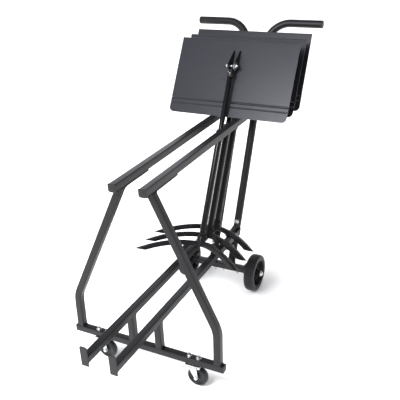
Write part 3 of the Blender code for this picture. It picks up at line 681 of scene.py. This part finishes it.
def make_stop(side, x, front):
    """The upright plate across a lower rail's front end."""
    node = f"rail_stop_{side}"
    lowest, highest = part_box(node)
    outline = rounded(rectangle(lowest.x, lowest.z, highest.x, highest.z), [0.002, 0.002, 0.006, 0.006])
    piece(f"end_stop_{side}", plate(outline, "Y", lowest.y, highest.y), "frame", "cart", node, bevel=0.0007)
    line = end_square(x, front - 0.0004, middle(f"lower_rail_{side}").z, RAIL_SIDE - 0.0020)
    piece(f"stop_weld_{side}", weld_bead(line, 0.0019), "frame", "cart")


def make_supports():
    for side in SIDES:
        node = f"rail_support_{side}"
        centre = middle(node)
        ends = [(centre.x, centre.y, low(node).z), (centre.x, centre.y, high(node).z)]
        piece(f"support_{side}", square_tube(ends, BAR_SIDE, (0, 1, 0)), "frame", "cart", node)
        for name, z in (("foot", low(node).z), ("top", high(node).z)):
            bead = weld_bead(level_square(centre.x, centre.y, z, BAR_SIDE - 0.001), 0.0018)
            piece(f"support_{name}_weld_{side}", bead, "frame", "cart")


# ---------------------------------------------------------------- handle and rear end

def make_handle():
    foot_z = high("rear_beam").z + GAP
    for side, sign in SIDES.items():
        node = f"handle_post_{side}"
        lowest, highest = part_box(node)
        grip_z = highest.z - HANDLE_RADIUS
        grip_y = highest.y - HANDLE_RADIUS
        post_x = sign * (min(abs(lowest.x), abs(highest.x)) + HANDLE_RADIUS)
        grip_x = sign * max(abs(lowest.x), abs(highest.x))
        foot = (post_x, grip_y - POST_SLOPE * (grip_z - foot_z), foot_z)
        path = bent_path(foot, (post_x, grip_y, grip_z), (grip_x, grip_y, grip_z), GRIP_BEND_RADIUS, 28)
        normal = (path[0] - path[1]).cross(path[-1] - path[-2])
        bm = sweep(path, circle(HANDLE_RADIUS, 48), normal, circle(HANDLE_RADIUS - WALL, 48))
        for vert in bm.verts:
            if (vert.co - path[0]).length < 1.5 * HANDLE_RADIUS:
                vert.co.y += POST_SLOPE * (foot_z - vert.co.z)
                vert.co.z = foot_z
        piece(f"handle_{side}", bm, "frame", "cart", node)
        inner = HANDLE_RADIUS - WALL - 0.0005
        profile = [(0, -0.014), (inner - 0.001, -0.014), (inner, -0.012), (inner, 0.0002),
                   (HANDLE_RADIUS, 0.0002), (HANDLE_RADIUS, 0.0022), (HANDLE_RADIUS - 0.0012, 0.0036),
                   (HANDLE_RADIUS - 0.0036, 0.0043), (0, 0.0046)]
        cap = turned(profile, 48, "X")
        if sign < 0:
            cap.transform(Matrix.Rotation(math.pi, 4, "Z"))
        piece(f"grip_end_{side}", cap, "cap", "cart", f"grip_cap_{side}", place=at(grip_x, grip_y, grip_z))
        ring = [(post_x + a, foot[1] + POST_LEAN * b, foot_z) for a, b in circle(HANDLE_RADIUS, 24)]
        piece(f"post_weld_{side}", weld_bead(ring, 0.0021), "frame", "cart")


def make_braces():
    """Bent flat straps, bolted to each post and to the lower rail under it."""
    for side in SIDES:
        node = f"post_brace_{side}"
        x = middle(node).x
        rail_top = high(f"lower_rail_{side}").z
        z_rail = rail_top + GAP + BRACE_THICK / 2
        post = high(f"handle_post_{side}")
        grip_y, grip_z = post.y - HANDLE_RADIUS, post.z - HANDLE_RADIUS

        def post_y(z):
            return grip_y - POST_SLOPE * (grip_z - z)

        lie = (HANDLE_RADIUS + GAP + BRACE_THICK / 2) * POST_LEAN
        post_low = z_rail + 0.0080
        post_high = post_low + BRACE_TAB / POST_LEAN
        heel = post_y(post_low) - lie - BRACE_RUN
        path = soft_path([(x, post_y(post_high) - lie, post_high), (x, post_y(post_low) - lie, post_low),
                          (x, heel, z_rail), (x, heel - BRACE_TAB, z_rail)], 0.008)
        bm = sweep(path, box_outline(BRACE_WIDTH, BRACE_THICK, 0.0009, 2), (1, 0, 0))
        piece(f"brace_{side}", bm, "frame", "cart", node)

        out = Vector((0, -1, POST_SLOPE)).normalized()
        bolt_z = (post_low + post_high) / 2 - 0.001
        surface = HANDLE_RADIUS * POST_LEAN
        upper = Vector((x, post_y(bolt_z) - lie, bolt_z)) + out * BRACE_THICK / 2
        lower = (x, heel - BRACE_TAB * 0.55, z_rail + BRACE_THICK / 2)
        foot = (x - 0.003, post_y(POST_BOLT_Z) - surface * 0.985, POST_BOLT_Z)
        nut = (x, post_y(bolt_z) + surface * 0.97, bolt_z)
        for name, bm, direction, spot in (
            ("brace_bolt_upper", carriage_head(0.0085, 0.0105), out, upper),
            ("brace_bolt_lower", carriage_head(0.0085, 0.0105), (0, 0, 1), lower),
            ("post_foot_bolt", carriage_head(0.0070), out, foot),
            ("brace_nut", bolt_set(0.0110, 0.0085, 0.004), -out, nut),
        ):
            piece(f"{name}_{side}", bm, "zinc", "cart", place=facing(direction, spot))


def make_rear_axle():
    """The short beam, a plate at each end, and the plain axle with its caps."""
    lowest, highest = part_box("rear_beam")
    centre = (lowest + highest) / 2
    ends = [(lowest.x, centre.y, centre.z), (highest.x, centre.y, centre.z)]
    piece("beam", square_tube(ends, BAR_SIDE, (0, 0, 1)), "frame", "cart", "rear_beam")
    for i, x in enumerate((-0.0245, 0.0130, 0.0780)):
        piece(f"beam_bolt_{i}", bolt_set(0.0110, 0.0080, 0.0060), "axle", "cart",
              place=facing((0, 0, -1), (x, centre.y - 0.0045, lowest.z)))
    reach, edge = high("rear_axle").x, 0.001
    profile = [(0, -reach), (AXLE_RADIUS - edge, -reach), (AXLE_RADIUS, -reach + edge),
               (AXLE_RADIUS, reach - edge), (AXLE_RADIUS - edge, reach), (0, reach)]
    piece("axle_rod", turned(profile, 36, "X"), "axle", "cart", "rear_axle", place=at(*AXLE))
    for side, sign in SIDES.items():
        plate_low, plate_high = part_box(f"axle_bracket_{side}")
        half = (plate_high.y - plate_low.y) / 2
        outline = [(AXLE.y - half, plate_low.z), (AXLE.y + half, plate_low.z)]
        outline += arc(half, 0, 180, 20, (AXLE.y, plate_high.z - half))
        outline = rounded(outline, [0.003, 0.003] + [0] * (len(outline) - 2), 4)
        piece(f"wheel_bracket_{side}", plate(outline, "X", plate_low.x, plate_high.x), "frame", "cart",
              f"axle_bracket_{side}", bevel=0.0008)
        half = BAR_SIDE / 2
        line = [(sign * highest.x, centre.y + a, centre.z + b)
                for a, b in rectangle(-half, -half, half, half)]
        piece(f"bracket_weld_{side}", weld_bead(line, 0.0019), "frame", "cart")
        cap = turned([(0, 0.0002), (0.0066, 0.0002), (0.0098, 0), (0.0106, 0.0006), (0.0107, 0.0014),
                      (0.0100, 0.0022), (0.0086, 0.0030), (0.0082, 0.0062), (0.0074, 0.0078),
                      (0.0050, 0.0088), (0, 0.0092)], 40, "X")
        if sign < 0:
            cap.transform(Matrix.Rotation(math.pi, 4, "Z"))
        node = f"axle_cap_{side}"
        start = sign * min(abs(low(node).x), abs(high(node).x))
        piece(f"axle_nut_{side}", cap, "zinc", "cart", node, place=at(start, AXLE.y, AXLE.z))


def wheel_rib(face, web, rim):
    """A tapered rib on one face of a wheel's disc."""
    bm = bmesh.new()
    rows = []
    for reach, height in ((0.0140, WHEEL_HALF * 0.62), (rim - 0.0040, WHEEL_HALF * 0.40)):
        corners = ((0, -0.0018), (0, 0.0018), (height, 0.0013), (height, -0.0013))
        rows.append([bm.verts.new((face * (web / 2 + rise), across, reach)) for rise, across in corners])
    return skin(bm, rows)


def make_rear_wheels():
    """A grooved tyre on a dished wheel with a hub and eight ribs on each face."""
    half, outer = WHEEL_HALF, WHEEL_RADIUS
    grooves, rib_count = 6, 8
    flat = half - 0.0085
    tread = []
    for i in range(grooves):
        centre = -flat + 2 * flat * (i + 0.5) / grooves
        crown = outer - 0.0007 * (centre / half) ** 2
        tread += [(crown - dip, centre + across) for dip, across in
                  ((0, -0.0013), (0.0011, -0.0006), (0.0011, 0.0006), (0, 0.0013))]
    shoulder = [(RIM_RADIUS, half - 0.0030), (RIM_RADIUS + 0.0012, half - 0.0008),
                (RIM_RADIUS + 0.0035, half), (outer - 0.0105, half), (outer - 0.0062, half - 0.0010),
                (outer - 0.0030, half - 0.0032), (outer - 0.0012, half - 0.0062)]
    tyre = [(r, -h) for r, h in shoulder] + tread + [(r, h) for r, h in reversed(shoulder)]
    rim = RIM_RADIUS - GAP
    web = 0.0035
    inner, outer_face, bore = 0.0351, half + HUB_PROUD, 0.00655
    rim_half = [(0.0130, web), (rim - 0.0060, web), (rim - 0.0035, half - 0.0060),
                (rim - 0.0030, half - 0.0020), (rim, half - 0.0020)]
    disc = [(r, -h) for r, h in rim_half] + [(r, h) for r, h in reversed(rim_half)]
    boss = [(bore, -inner), (0.0120, -inner), (0.0134, 0.0012 - inner), (0.0160, -0.0050), (0.0165, 0.0050),
            (0.0150, outer_face - 0.0012), (0.0138, outer_face), (bore, outer_face)]
    for side, sign in SIDES.items():
        body = f"rear_roller_{side}"
        place = at(*middle(f"rear_tyre_{side}")) @ Matrix.Rotation(math.pi if sign < 0 else 0.0, 4, "Z")
        piece(f"tyre_{side}", turned(tyre, 96, "X", ring=True), "tyre", body, f"rear_tyre_{side}",
              place=place, angle=50)
        bm = turned(disc, 96, "X", ring=True)
        merge(bm, turned(boss, 64, "X", ring=True))
        for i in range(rib_count):
            for face in (-1, 1):
                turn = Matrix.Rotation(2 * math.pi * i / rib_count, 4, "X")
                merge(bm, moved(wheel_rib(face, web, rim), turn))
        piece(f"wheel_{side}", bm, "wheel", body, f"rear_wheel_{side}", place=place, bevel=0.0004, angle=35)


# ---------------------------------------------------------------- casters

def make_casters():
    """A plate with its race under the crossbar, a pressed fork, its bolt and a rubber wheel."""
    half, radius = CASTER_HALF, CASTER_RADIUS
    cheek_in, cheek_out = half + 0.0012, half + 0.0036
    tread = [(0.0042, half), (0.0085, half), (0.0095, half - 0.0012), (0.0105, half - 0.0042)]
    tread += [(radius - inward, half - down) for inward, down in (
        (0.0120, 0.0042), (0.0103, 0.0030), (0.0095, 0.0008), (0.0080, 0.0002), (0.0055, 0.0004),
        (0.0030, 0.0016), (0.0013, 0.0038), (0.0004, 0.0066), (0, 0.0095))]
    wheel = [(r, -h) for r, h in tread] + [(r, h) for r, h in reversed(tread)]
    for side in SIDES:
        swivel = Vector(joints[f"caster_turn_{side}"]["pos_m"])
        swivel.z = 0
        axle = Vector(joints[f"caster_roll_{side}"]["pos_m"])
        trail = axle.x - swivel.x
        plate_low, plate_top = low(f"caster_plate_{side}").z, high(f"caster_plate_{side}").z
        plate_face = plate_top - 0.0025
        bm = plate(box_outline(0.058, 0.036, 0.0055), "Z", plate_face, plate_top)
        merge(bm, turned([(0, plate_low), (0.0140, plate_low), (0.0165, plate_low + 0.0006),
                          (0.0185, plate_low + 0.0020), (0.0190, plate_low + 0.0032),
                          (0.0190, plate_face + 0.0004), (0, plate_face + 0.0004)], 56))
        piece(f"caster_mount_{side}", bm, "zinc", "cart", f"caster_plate_{side}", bevel=0.0005,
              place=at(*swivel))

        swivel_body = f"caster_swivel_{side}"
        crown = high(f"caster_fork_{side}").z
        dish = turned([(0, crown - 0.0020), (0.0150, crown - 0.0021), (0.0170, crown - 0.0021),
                       (0.0190, crown - 0.0019), (0.0190, crown - 0.0008), (0.0178, crown - 0.0002),
                       (0, crown)], 56)
        for face in (-1, 1):
            cheek = rounded([(-0.0165, crown - 0.0015), (-0.0150, crown - 0.0080),
                             (trail - 0.0068, axle.z - 0.0050), (trail + 0.0068, axle.z - 0.0050),
                             (0.0150, crown - 0.0120), (0.0150, crown - 0.0015)],
                            [0, 0.010, 0.0050, 0.0050, 0.010, 0])
            merge(dish, plate(cheek, "Y", *sorted((face * cheek_in, face * cheek_out))))
        piece(f"caster_yoke_{side}", dish, "zinc", swivel_body, f"caster_fork_{side}", bevel=0.0006,
              place=at(*swivel))
        pin = turned([(0, -cheek_out), (0.0040, -cheek_out), (0.0040, cheek_out), (0, cheek_out)], 24, "Y")
        for face, thread in ((-1, 0.0), (1, 0.0015)):
            merge(pin, moved(bolt_set(0.0105, 0.0068, thread),
                             facing((0, face, 0), (0, face * (cheek_out + 0.0002), 0))))
        piece(f"caster_bolt_{side}", pin, "zinc", swivel_body, f"caster_axle_{side}", place=at(*axle))
        piece(f"caster_tyre_{side}", turned(wheel, 72, "Y", ring=True), "caster", f"caster_roller_{side}",
              f"caster_wheel_{side}", place=at(*axle))
        for i, (offset, row) in enumerate(((-0.0180, 1), (0.0180, -1))):
            spot = (swivel.x + offset, FRONT_Y, BAR.z + BAR_SIDE / 2)
            piece(f"caster_mount_bolt_{side}_{i}", bolt_set(0.0130, 0.0100), "zinc", "cart",
                  place=facing((0, 0, 1), spot) @ Matrix.Rotation(0.4 + 0.5 * i, 4, "Z"))
            spot = (swivel.x + offset * 1.25, FRONT_Y + 0.0135 * row, plate_face)
            piece(f"caster_mount_nut_{side}_{i}", bolt_set(0.0095, 0.0062, 0.0015), "zinc", "cart",
                  place=facing((0, 0, -1), spot))


# ---------------------------------------------------------------- music stands

def mast_place(number):
    """A stand's own frame: Z runs up the tube, with the pivot PIVOT_HEIGHT above the origin."""
    up = Vector(joints[f"stand_{number}_height"]["axis"]).normalized()
    pivot = Vector(joints[f"stand_{number}_tilt"]["pos_m"])
    lean = math.atan2(up.y, up.z)
    return Matrix.Translation(pivot - up * PIVOT_HEIGHT) @ Matrix.Rotation(-lean, 4, "X")


def leg_outline():
    """A stand leg's section: round shoulders over sharper lower edges."""
    half, top, bottom = LEG_WIDTH / 2, LEG_HEIGHT / 2 + 0.0030, -LEG_HEIGHT / 2
    return rounded(rectangle(-half, bottom, half, top), [0.0010, 0.0010, 0.0052, 0.0052], 5)


def stand_leg(angle):
    """A leg that curves down like a parabola and is flat underneath at its tip."""
    stations = 40
    path = []
    for i in range(stations):
        t = i / (stations - 1)
        path.append((0, -LEG_START - (LEG_REACH - LEG_START) * t,
                     -LEG_ROOT_DROP - (LEG_DROP - LEG_ROOT_DROP) * t * t))
    bm = sweep(path, leg_outline(), (1, 0, 0))
    for vert in bm.verts:
        if vert.co.z < LEG_FLOOR:
            vert.co.z = LEG_FLOOR + 0.00002 * min(1, (LEG_FLOOR - vert.co.z) / LEG_HEIGHT)
    return moved(bm, Matrix.Rotation(math.radians(angle), 4, "Z"))


def make_stand(number):
    """The base and lower tube, the telescopic upper tube, and the desk on its tilting head."""
    raised = mast_place(number)
    place = raised @ at(0, 0, -MAST_RAISE[number])
    pivot = raised @ at(0, 0, PIVOT_HEIGHT) @ Matrix.Rotation(-math.radians(DESK_TILT[number]), 4, "X")
    stand, mast, desk = f"stand_{number}", f"mast_{number}", f"desk_{number}"
    name = f"stand_{number}_"

    hub = turned([(0.0128, -0.012), (0.0168, -0.012), (0.0182, -0.0105), (0.0182, 0.0180), (0.0172, 0.0215),
                  (0.0150, 0.0262), (0.0140, 0.0270), (0.0128, 0.0270)], 56, ring=True)
    for angle in LEG_ANGLES:
        merge(hub, stand_leg(angle))
    piece(name + "legs", hub, "base", stand, name + "base", place=place, angle=35)
    for i, angle in enumerate(LEG_ANGLES):
        turn = Matrix.Rotation(math.radians(angle), 4, "Z")
        line = [(x, -0.0180 - 0.06 * abs(x), z) for x, z in
                ((-0.0098, -0.0120), (-0.0098, -0.0030), (-0.0060, -0.0012), (0.0060, -0.0012),
                 (0.0098, -0.0030), (0.0098, -0.0120))]
        bead = weld_bead(line, 0.0016, closed=False)
        piece(f"{name}leg_weld_{i}", bead, "base", stand, place=place @ turn)

    collar = COLLAR_TOP - COLLAR_LENGTH
    tube = turned([(OUTER_RADIUS - 0.0022, -0.0080), (OUTER_RADIUS - 0.0004, -0.0080),
                   (OUTER_RADIUS, -0.0076), (OUTER_RADIUS, collar + 0.004),
                   (OUTER_RADIUS - 0.0022, collar + 0.004)], 64, ring=True)
    piece(name + "lower_tube", tube, "tube", stand, name + "outer_tube", place=place)
    clutch = turned([(0.01285, collar), (0.0162, collar), (0.0168, collar + 0.0008),
                     (0.0168, collar + 0.0090), (0.0160, collar + 0.0100), (0.0160, collar + 0.0112),
                     (0.0168, collar + 0.0122),
                     (0.0170, COLLAR_TOP - 0.0080), (0.0164, COLLAR_TOP - 0.0040),
                     (0.0146, COLLAR_TOP - 0.0010), (0.0120, COLLAR_TOP), (0.0103, COLLAR_TOP),
                     (0.0103, collar + 0.0052), (0.01285, collar + 0.0050)], 64, ring=True)
    piece(name + "collar", clutch, "head", stand, place=place)
    inner = turned([(INNER_RADIUS - 0.0016, 0.0500), (INNER_RADIUS - 0.0003, 0.0500),
                    (INNER_RADIUS, 0.0504), (INNER_RADIUS, INNER_TOP - 0.0004),
                    (INNER_RADIUS - 0.0003, INNER_TOP), (INNER_RADIUS - 0.0016, INNER_TOP)], 64, ring=True)
    piece(name + "upper_tube", inner, "tube", mast, name + "inner_tube", place=raised)
    make_head(raised, mast, name)
    make_bracket(pivot, desk, name)
    make_desk(pivot, desk, name)


def make_head(place, mast, name):
    """The neck in the tube's top carries two cheeks; a bright sleeve shows between them."""
    shoulder = INNER_TOP + GAP
    pivot = at(0, 0, PIVOT_HEIGHT)
    neck = turned([(0, INNER_TOP - 0.028), (0.0079, INNER_TOP - 0.028), (0.0080, shoulder),
                   (0.0122, shoulder), (NECK_RADIUS, shoulder + 0.0010), (NECK_RADIUS, shoulder + 0.0185),
                   (0.0112, shoulder + 0.0225), (0.0070, shoulder + 0.0240), (0, shoulder + 0.0240)], 56)
    low_z = shoulder + 0.0180 - PIVOT_HEIGHT
    cheek = [(-0.0090, low_z), (0.0090, low_z), *arc(0.0108, -15, 210, 24)]
    for start, end in ((-0.0085, -0.0062), (0.0062, 0.0085)):
        merge(neck, moved(plate(cheek, "X", start, end), pivot))
    root = rounded([(-0.0088, low_z), (0.0088, low_z), (0.0070, -0.0135), (-0.0070, -0.0135)],
                   [0, 0, 0.002, 0.002], 3)
    merge(neck, moved(plate(root, "X", -0.0080, 0.0080), pivot))
    piece(name + "tilt_head", neck, "head", mast, name + "head", place=place, bevel=0.0006)
    sleeve = turned([(0.0042, -0.0060), (0.0050, -0.0060), (0.0052, -0.0056), (0.0052, 0.0056),
                     (0.0050, 0.0060), (0.0042, 0.0060)], 40, "X", ring=True)
    piece(name + "sleeve", sleeve, "axle", mast, place=place @ pivot)
    for i, (x, drop) in enumerate(((-0.0060, 0.0270), (0.0030, 0.0300))):
        y = -math.sqrt(NECK_RADIUS ** 2 - x ** 2)
        spot = at(x, y, PIVOT_HEIGHT - drop) @ facing((x, y, 0), (0, 0, 0))
        piece(f"{name}neck_screw_{i}", carriage_head(0.0026), "zinc", mast, place=place @ spot)


def make_bracket(place, desk, name):
    """A folded channel riveted to the desk; its two tapered ears hold the pivot bolt."""
    back = DESK_OFFSET - GAP
    front = back - 0.0022
    foot = plate(rounded(rectangle(-EAR_OUTER, BRACKET_BOTTOM, EAR_OUTER, BRACKET_WEB_TOP), [0.002] * 4, 4),
                 "Y", front, back)
    nose = arc(0.0125, 150, 120, 16)
    ear = rounded([(back, BRACKET_BOTTOM), (back, BRACKET_TOP), (back - 0.0060, BRACKET_TOP), *nose,
                   (back - 0.004, BRACKET_BOTTOM)], [0, 0, 0.0040] + [0] * (len(nose) + 1), 5)
    for start, end in ((-EAR_OUTER, -EAR_INNER), (EAR_INNER, EAR_OUTER)):
        merge(foot, plate(ear, "X", start, end))
    piece(name + "ears", foot, "head", desk, name + "bracket", place=place, bevel=0.0006)
    face = EAR_OUTER + GAP
    bolt = turned([(0, -face), (PIVOT_RADIUS, -face), (PIVOT_RADIUS, face), (0, face)], 32, "X")
    merge(bolt, moved(bolt_set(0.0125, 0.0080, 0.0030), facing((-1, 0, 0), (-face, 0, 0))))
    disc = turned([(0, 0), (0.0164, 0), (0.0170, 0.0005), (0.0170, 0.0013), (0.0164, 0.0018),
                   (0.0110, 0.0020), (0.0080, 0.0026), (0, 0.0026)], 56)
    merge(bolt, moved(disc, facing((1, 0, 0), (face, 0, 0))))
    merge(bolt, moved(hex_head(0.0125, 0.0090), facing((1, 0, 0), (face + 0.0024, 0, 0))))
    piece(name + "tilt_bolt", bolt, "zinc", desk, name + "pivot_bolt", place=place)
    for i, x in enumerate((-0.0070, 0.0070)):
        piece(f"{name}bracket_rivet_{i}", carriage_head(0.0030), "head", desk,
              place=place @ at(x, front, 0.0080) @ facing((0, -1, 0), (0, 0, 0)))


def crease_depth(rise):
    """How far the sheet steps back at a height above its free edge: two pressed creases."""
    depth = 0.0
    for share, width, dip in CREASES:
        gap = abs(rise - share * DESK_HEIGHT)
        if gap < width:
            depth += dip * (math.cos(math.pi * gap / width) + 1) / 2
    return depth


def make_desk(place, body, name):
    """One sheet: a panel with two pressed creases, folded over into the shelf and its lip."""
    half, corner, bend = DESK_HALF, DESK_CORNER, DESK_BEND
    bottom, top = -DESK_BELOW, DESK_HEIGHT - DESK_BELOW
    back = DESK_OFFSET + SHELF_DEPTH
    line = []
    z = bottom
    while z < top - bend - 0.0004:
        line.append((DESK_OFFSET + crease_depth(z - bottom), z))
        near_crease = bottom + 0.030 < z < bottom + 0.070
        z += 0.0007 if near_crease else 0.0014 if z < bottom + corner else 0.010
    line += arc(bend, 180, -90, 8, (DESK_OFFSET + bend, top - bend))
    line += arc(bend, 90, -90, 8, (back - bend, top - bend))
    line.append((back, top - SHELF_LIP))
    bm = bmesh.new()
    steps = 24
    rows = []
    for y, z in line:
        inset = 0.0
        if z < bottom + corner and y < DESK_OFFSET + 0.004:
            inset = bottom + corner - z
        if y - DESK_OFFSET > SHELF_DEPTH - corner:
            inset = min(y - DESK_OFFSET - (SHELF_DEPTH - corner), corner)
        reach = half - corner + math.sqrt(corner ** 2 - inset ** 2) if inset else half
        rows.append([bm.verts.new((reach * (2 * i / steps - 1), y, z)) for i in range(steps + 1)])
    for near, far in zip(rows, rows[1:]):
        for i in range(steps):
            bm.faces.new((near[i], near[i + 1], far[i + 1], far[i]))
    obj = piece(name + "music_desk", bm, "desk", body, name + "desk", place=place, angle=60)
    solid = obj.modifiers.new("sheet", "SOLIDIFY")
    solid.thickness = SHEET
    solid.offset = -1
    crisp = obj.modifiers.new("crisp_edges", "EDGE_SPLIT")
    crisp.split_angle = math.radians(40)
    for i, x in enumerate((-0.040, 0.036)):
        outline = rounded(rectangle(x - 0.010, -0.0512, x + 0.010, -0.0488), [0.0011] * 4, 3)
        tab = plate(outline, "Y", DESK_OFFSET - 0.0004, DESK_OFFSET)
        piece(f"{name}tab_{i}", tab, "head", body, place=place)


# ---------------------------------------------------------------- studio

def link_lamp(name, light, matrix):
    lamp = bpy.data.objects.new(name, light)
    lamp.matrix_world = matrix
    bpy.context.scene.collection.objects.link(lamp)
    return lamp


def make_floor():
    """A sheet of white paper, much wider than the view."""
    bm = bmesh.new()
    bmesh.ops.create_grid(bm, x_segments=4, y_segments=4, size=40)
    mesh = bpy.data.meshes.new("floor")
    bm.to_mesh(mesh)
    bm.free()
    look = Look("floor_paper", roughness=0.9, specular=0.1)
    clouds = look.spread(look.noise(0.6, 3.0), 0.3, 0.7, 0.0, 1.0)
    look.colour(look.mix(clouds, (0.90, 0.90, 0.90), (0.93, 0.93, 0.93)))
    look.normal(look.bump(look.noise(180.0, 2.0), 0.0002, 0.2))
    mesh.materials.append(look.material)
    floor = bpy.data.objects.new("floor", mesh)
    floor.location.z = cad_low.z - 0.0002
    bpy.context.scene.collection.objects.link(floor)


def make_world():
    """Brighter behind the camera than ahead of it, with a white band at the horizon."""
    world = bpy.data.worlds.new("studio")
    world.use_nodes = True
    tree = world.node_tree
    back = tree.nodes["Background"]
    back.inputs["Strength"].default_value = 1.0
    direction = tree.nodes.new("ShaderNodeTexCoord")
    split = tree.nodes.new("ShaderNodeSeparateXYZ")
    tree.links.new(direction.outputs["Generated"], split.inputs["Vector"])
    parts = []
    for axis, numbers in (("Y", (-0.7, 0.6, 0.52, 0.12)), ("Z", (0.20, 0.34, 1.0, 0.0))):
        ramp = tree.nodes.new("ShaderNodeMapRange")
        for key, number in zip(RANGE_SOCKETS, numbers):
            ramp.inputs[key].default_value = number
        tree.links.new(split.outputs[axis], ramp.inputs["Value"])
        parts.append(ramp.outputs["Result"])
    brighter = tree.nodes.new("ShaderNodeMath")
    brighter.operation = "MAXIMUM"
    for socket, part in zip(brighter.inputs, parts):
        tree.links.new(part, socket)
    tree.links.new(brighter.outputs["Value"], back.inputs["Color"])
    bpy.context.scene.world = world
    bpy.context.scene.view_settings.view_transform = "Standard"


def make_lamps():
    """Two broad suns that leave no highlight, and two soft boxes that do."""
    for name, energy, spread, toward in (
        ("key", 4.6, 60.0, (-0.62, -0.50, 0.62)),
        ("top", 1.6, 90.0, (-0.10, 0.10, 1.0)),
    ):
        light = bpy.data.lights.new(name, "SUN")
        light.energy = energy
        light.angle = math.radians(spread)
        link_lamp(name, light, facing(toward, Vector(toward) * 3)).visible_glossy = False
    for name, energy, size, spot, target in (
        ("front_box", 44.0, (0.8, 0.8), (-0.15, -1.50, 2.00), (0.15, 0.3, 0.85)),
        ("rear_box", 22.0, (2.4, 0.9), (-1.7, 3.0, 2.0), (0, 0, 0.6)),
    ):
        light = bpy.data.lights.new(name, "AREA")
        light.shape = "RECTANGLE"
        light.size, light.size_y = size
        light.energy = energy
        light.color = (0.92, 0.93, 1.0)
        link_lamp(name, light, facing(Vector(spot) - Vector(target), spot))


def make_camera():
    camera = bpy.data.cameras.new("camera")
    camera.lens = 55.3
    camera.sensor_width = 36.0
    obj = bpy.data.objects.new("camera", camera)
    ahead = Vector((-0.4181, 0.8014, -0.4278)).normalized()
    right = Vector((0.8949, 0.4443, -0.0423))
    right = (right - ahead * right.dot(ahead)).normalized()
    up = right.cross(ahead)
    turn = Matrix((right, up, -ahead)).transposed().to_4x4()
    obj.matrix_world = Matrix.Translation((0.9894, -1.4440 + FRONT_Y, 1.4785)) @ turn
    bpy.context.scene.collection.objects.link(obj)
    bpy.context.scene.camera = obj


make_crossbar()
make_front_legs()
make_rails()
make_supports()
make_handle()
make_braces()
make_rear_axle()
make_rear_wheels()
make_casters()
for stand_number in STANDS:
    make_stand(stand_number)
make_floor()
make_world()
make_lamps()
make_camera()

bpy.context.view_layer.update()
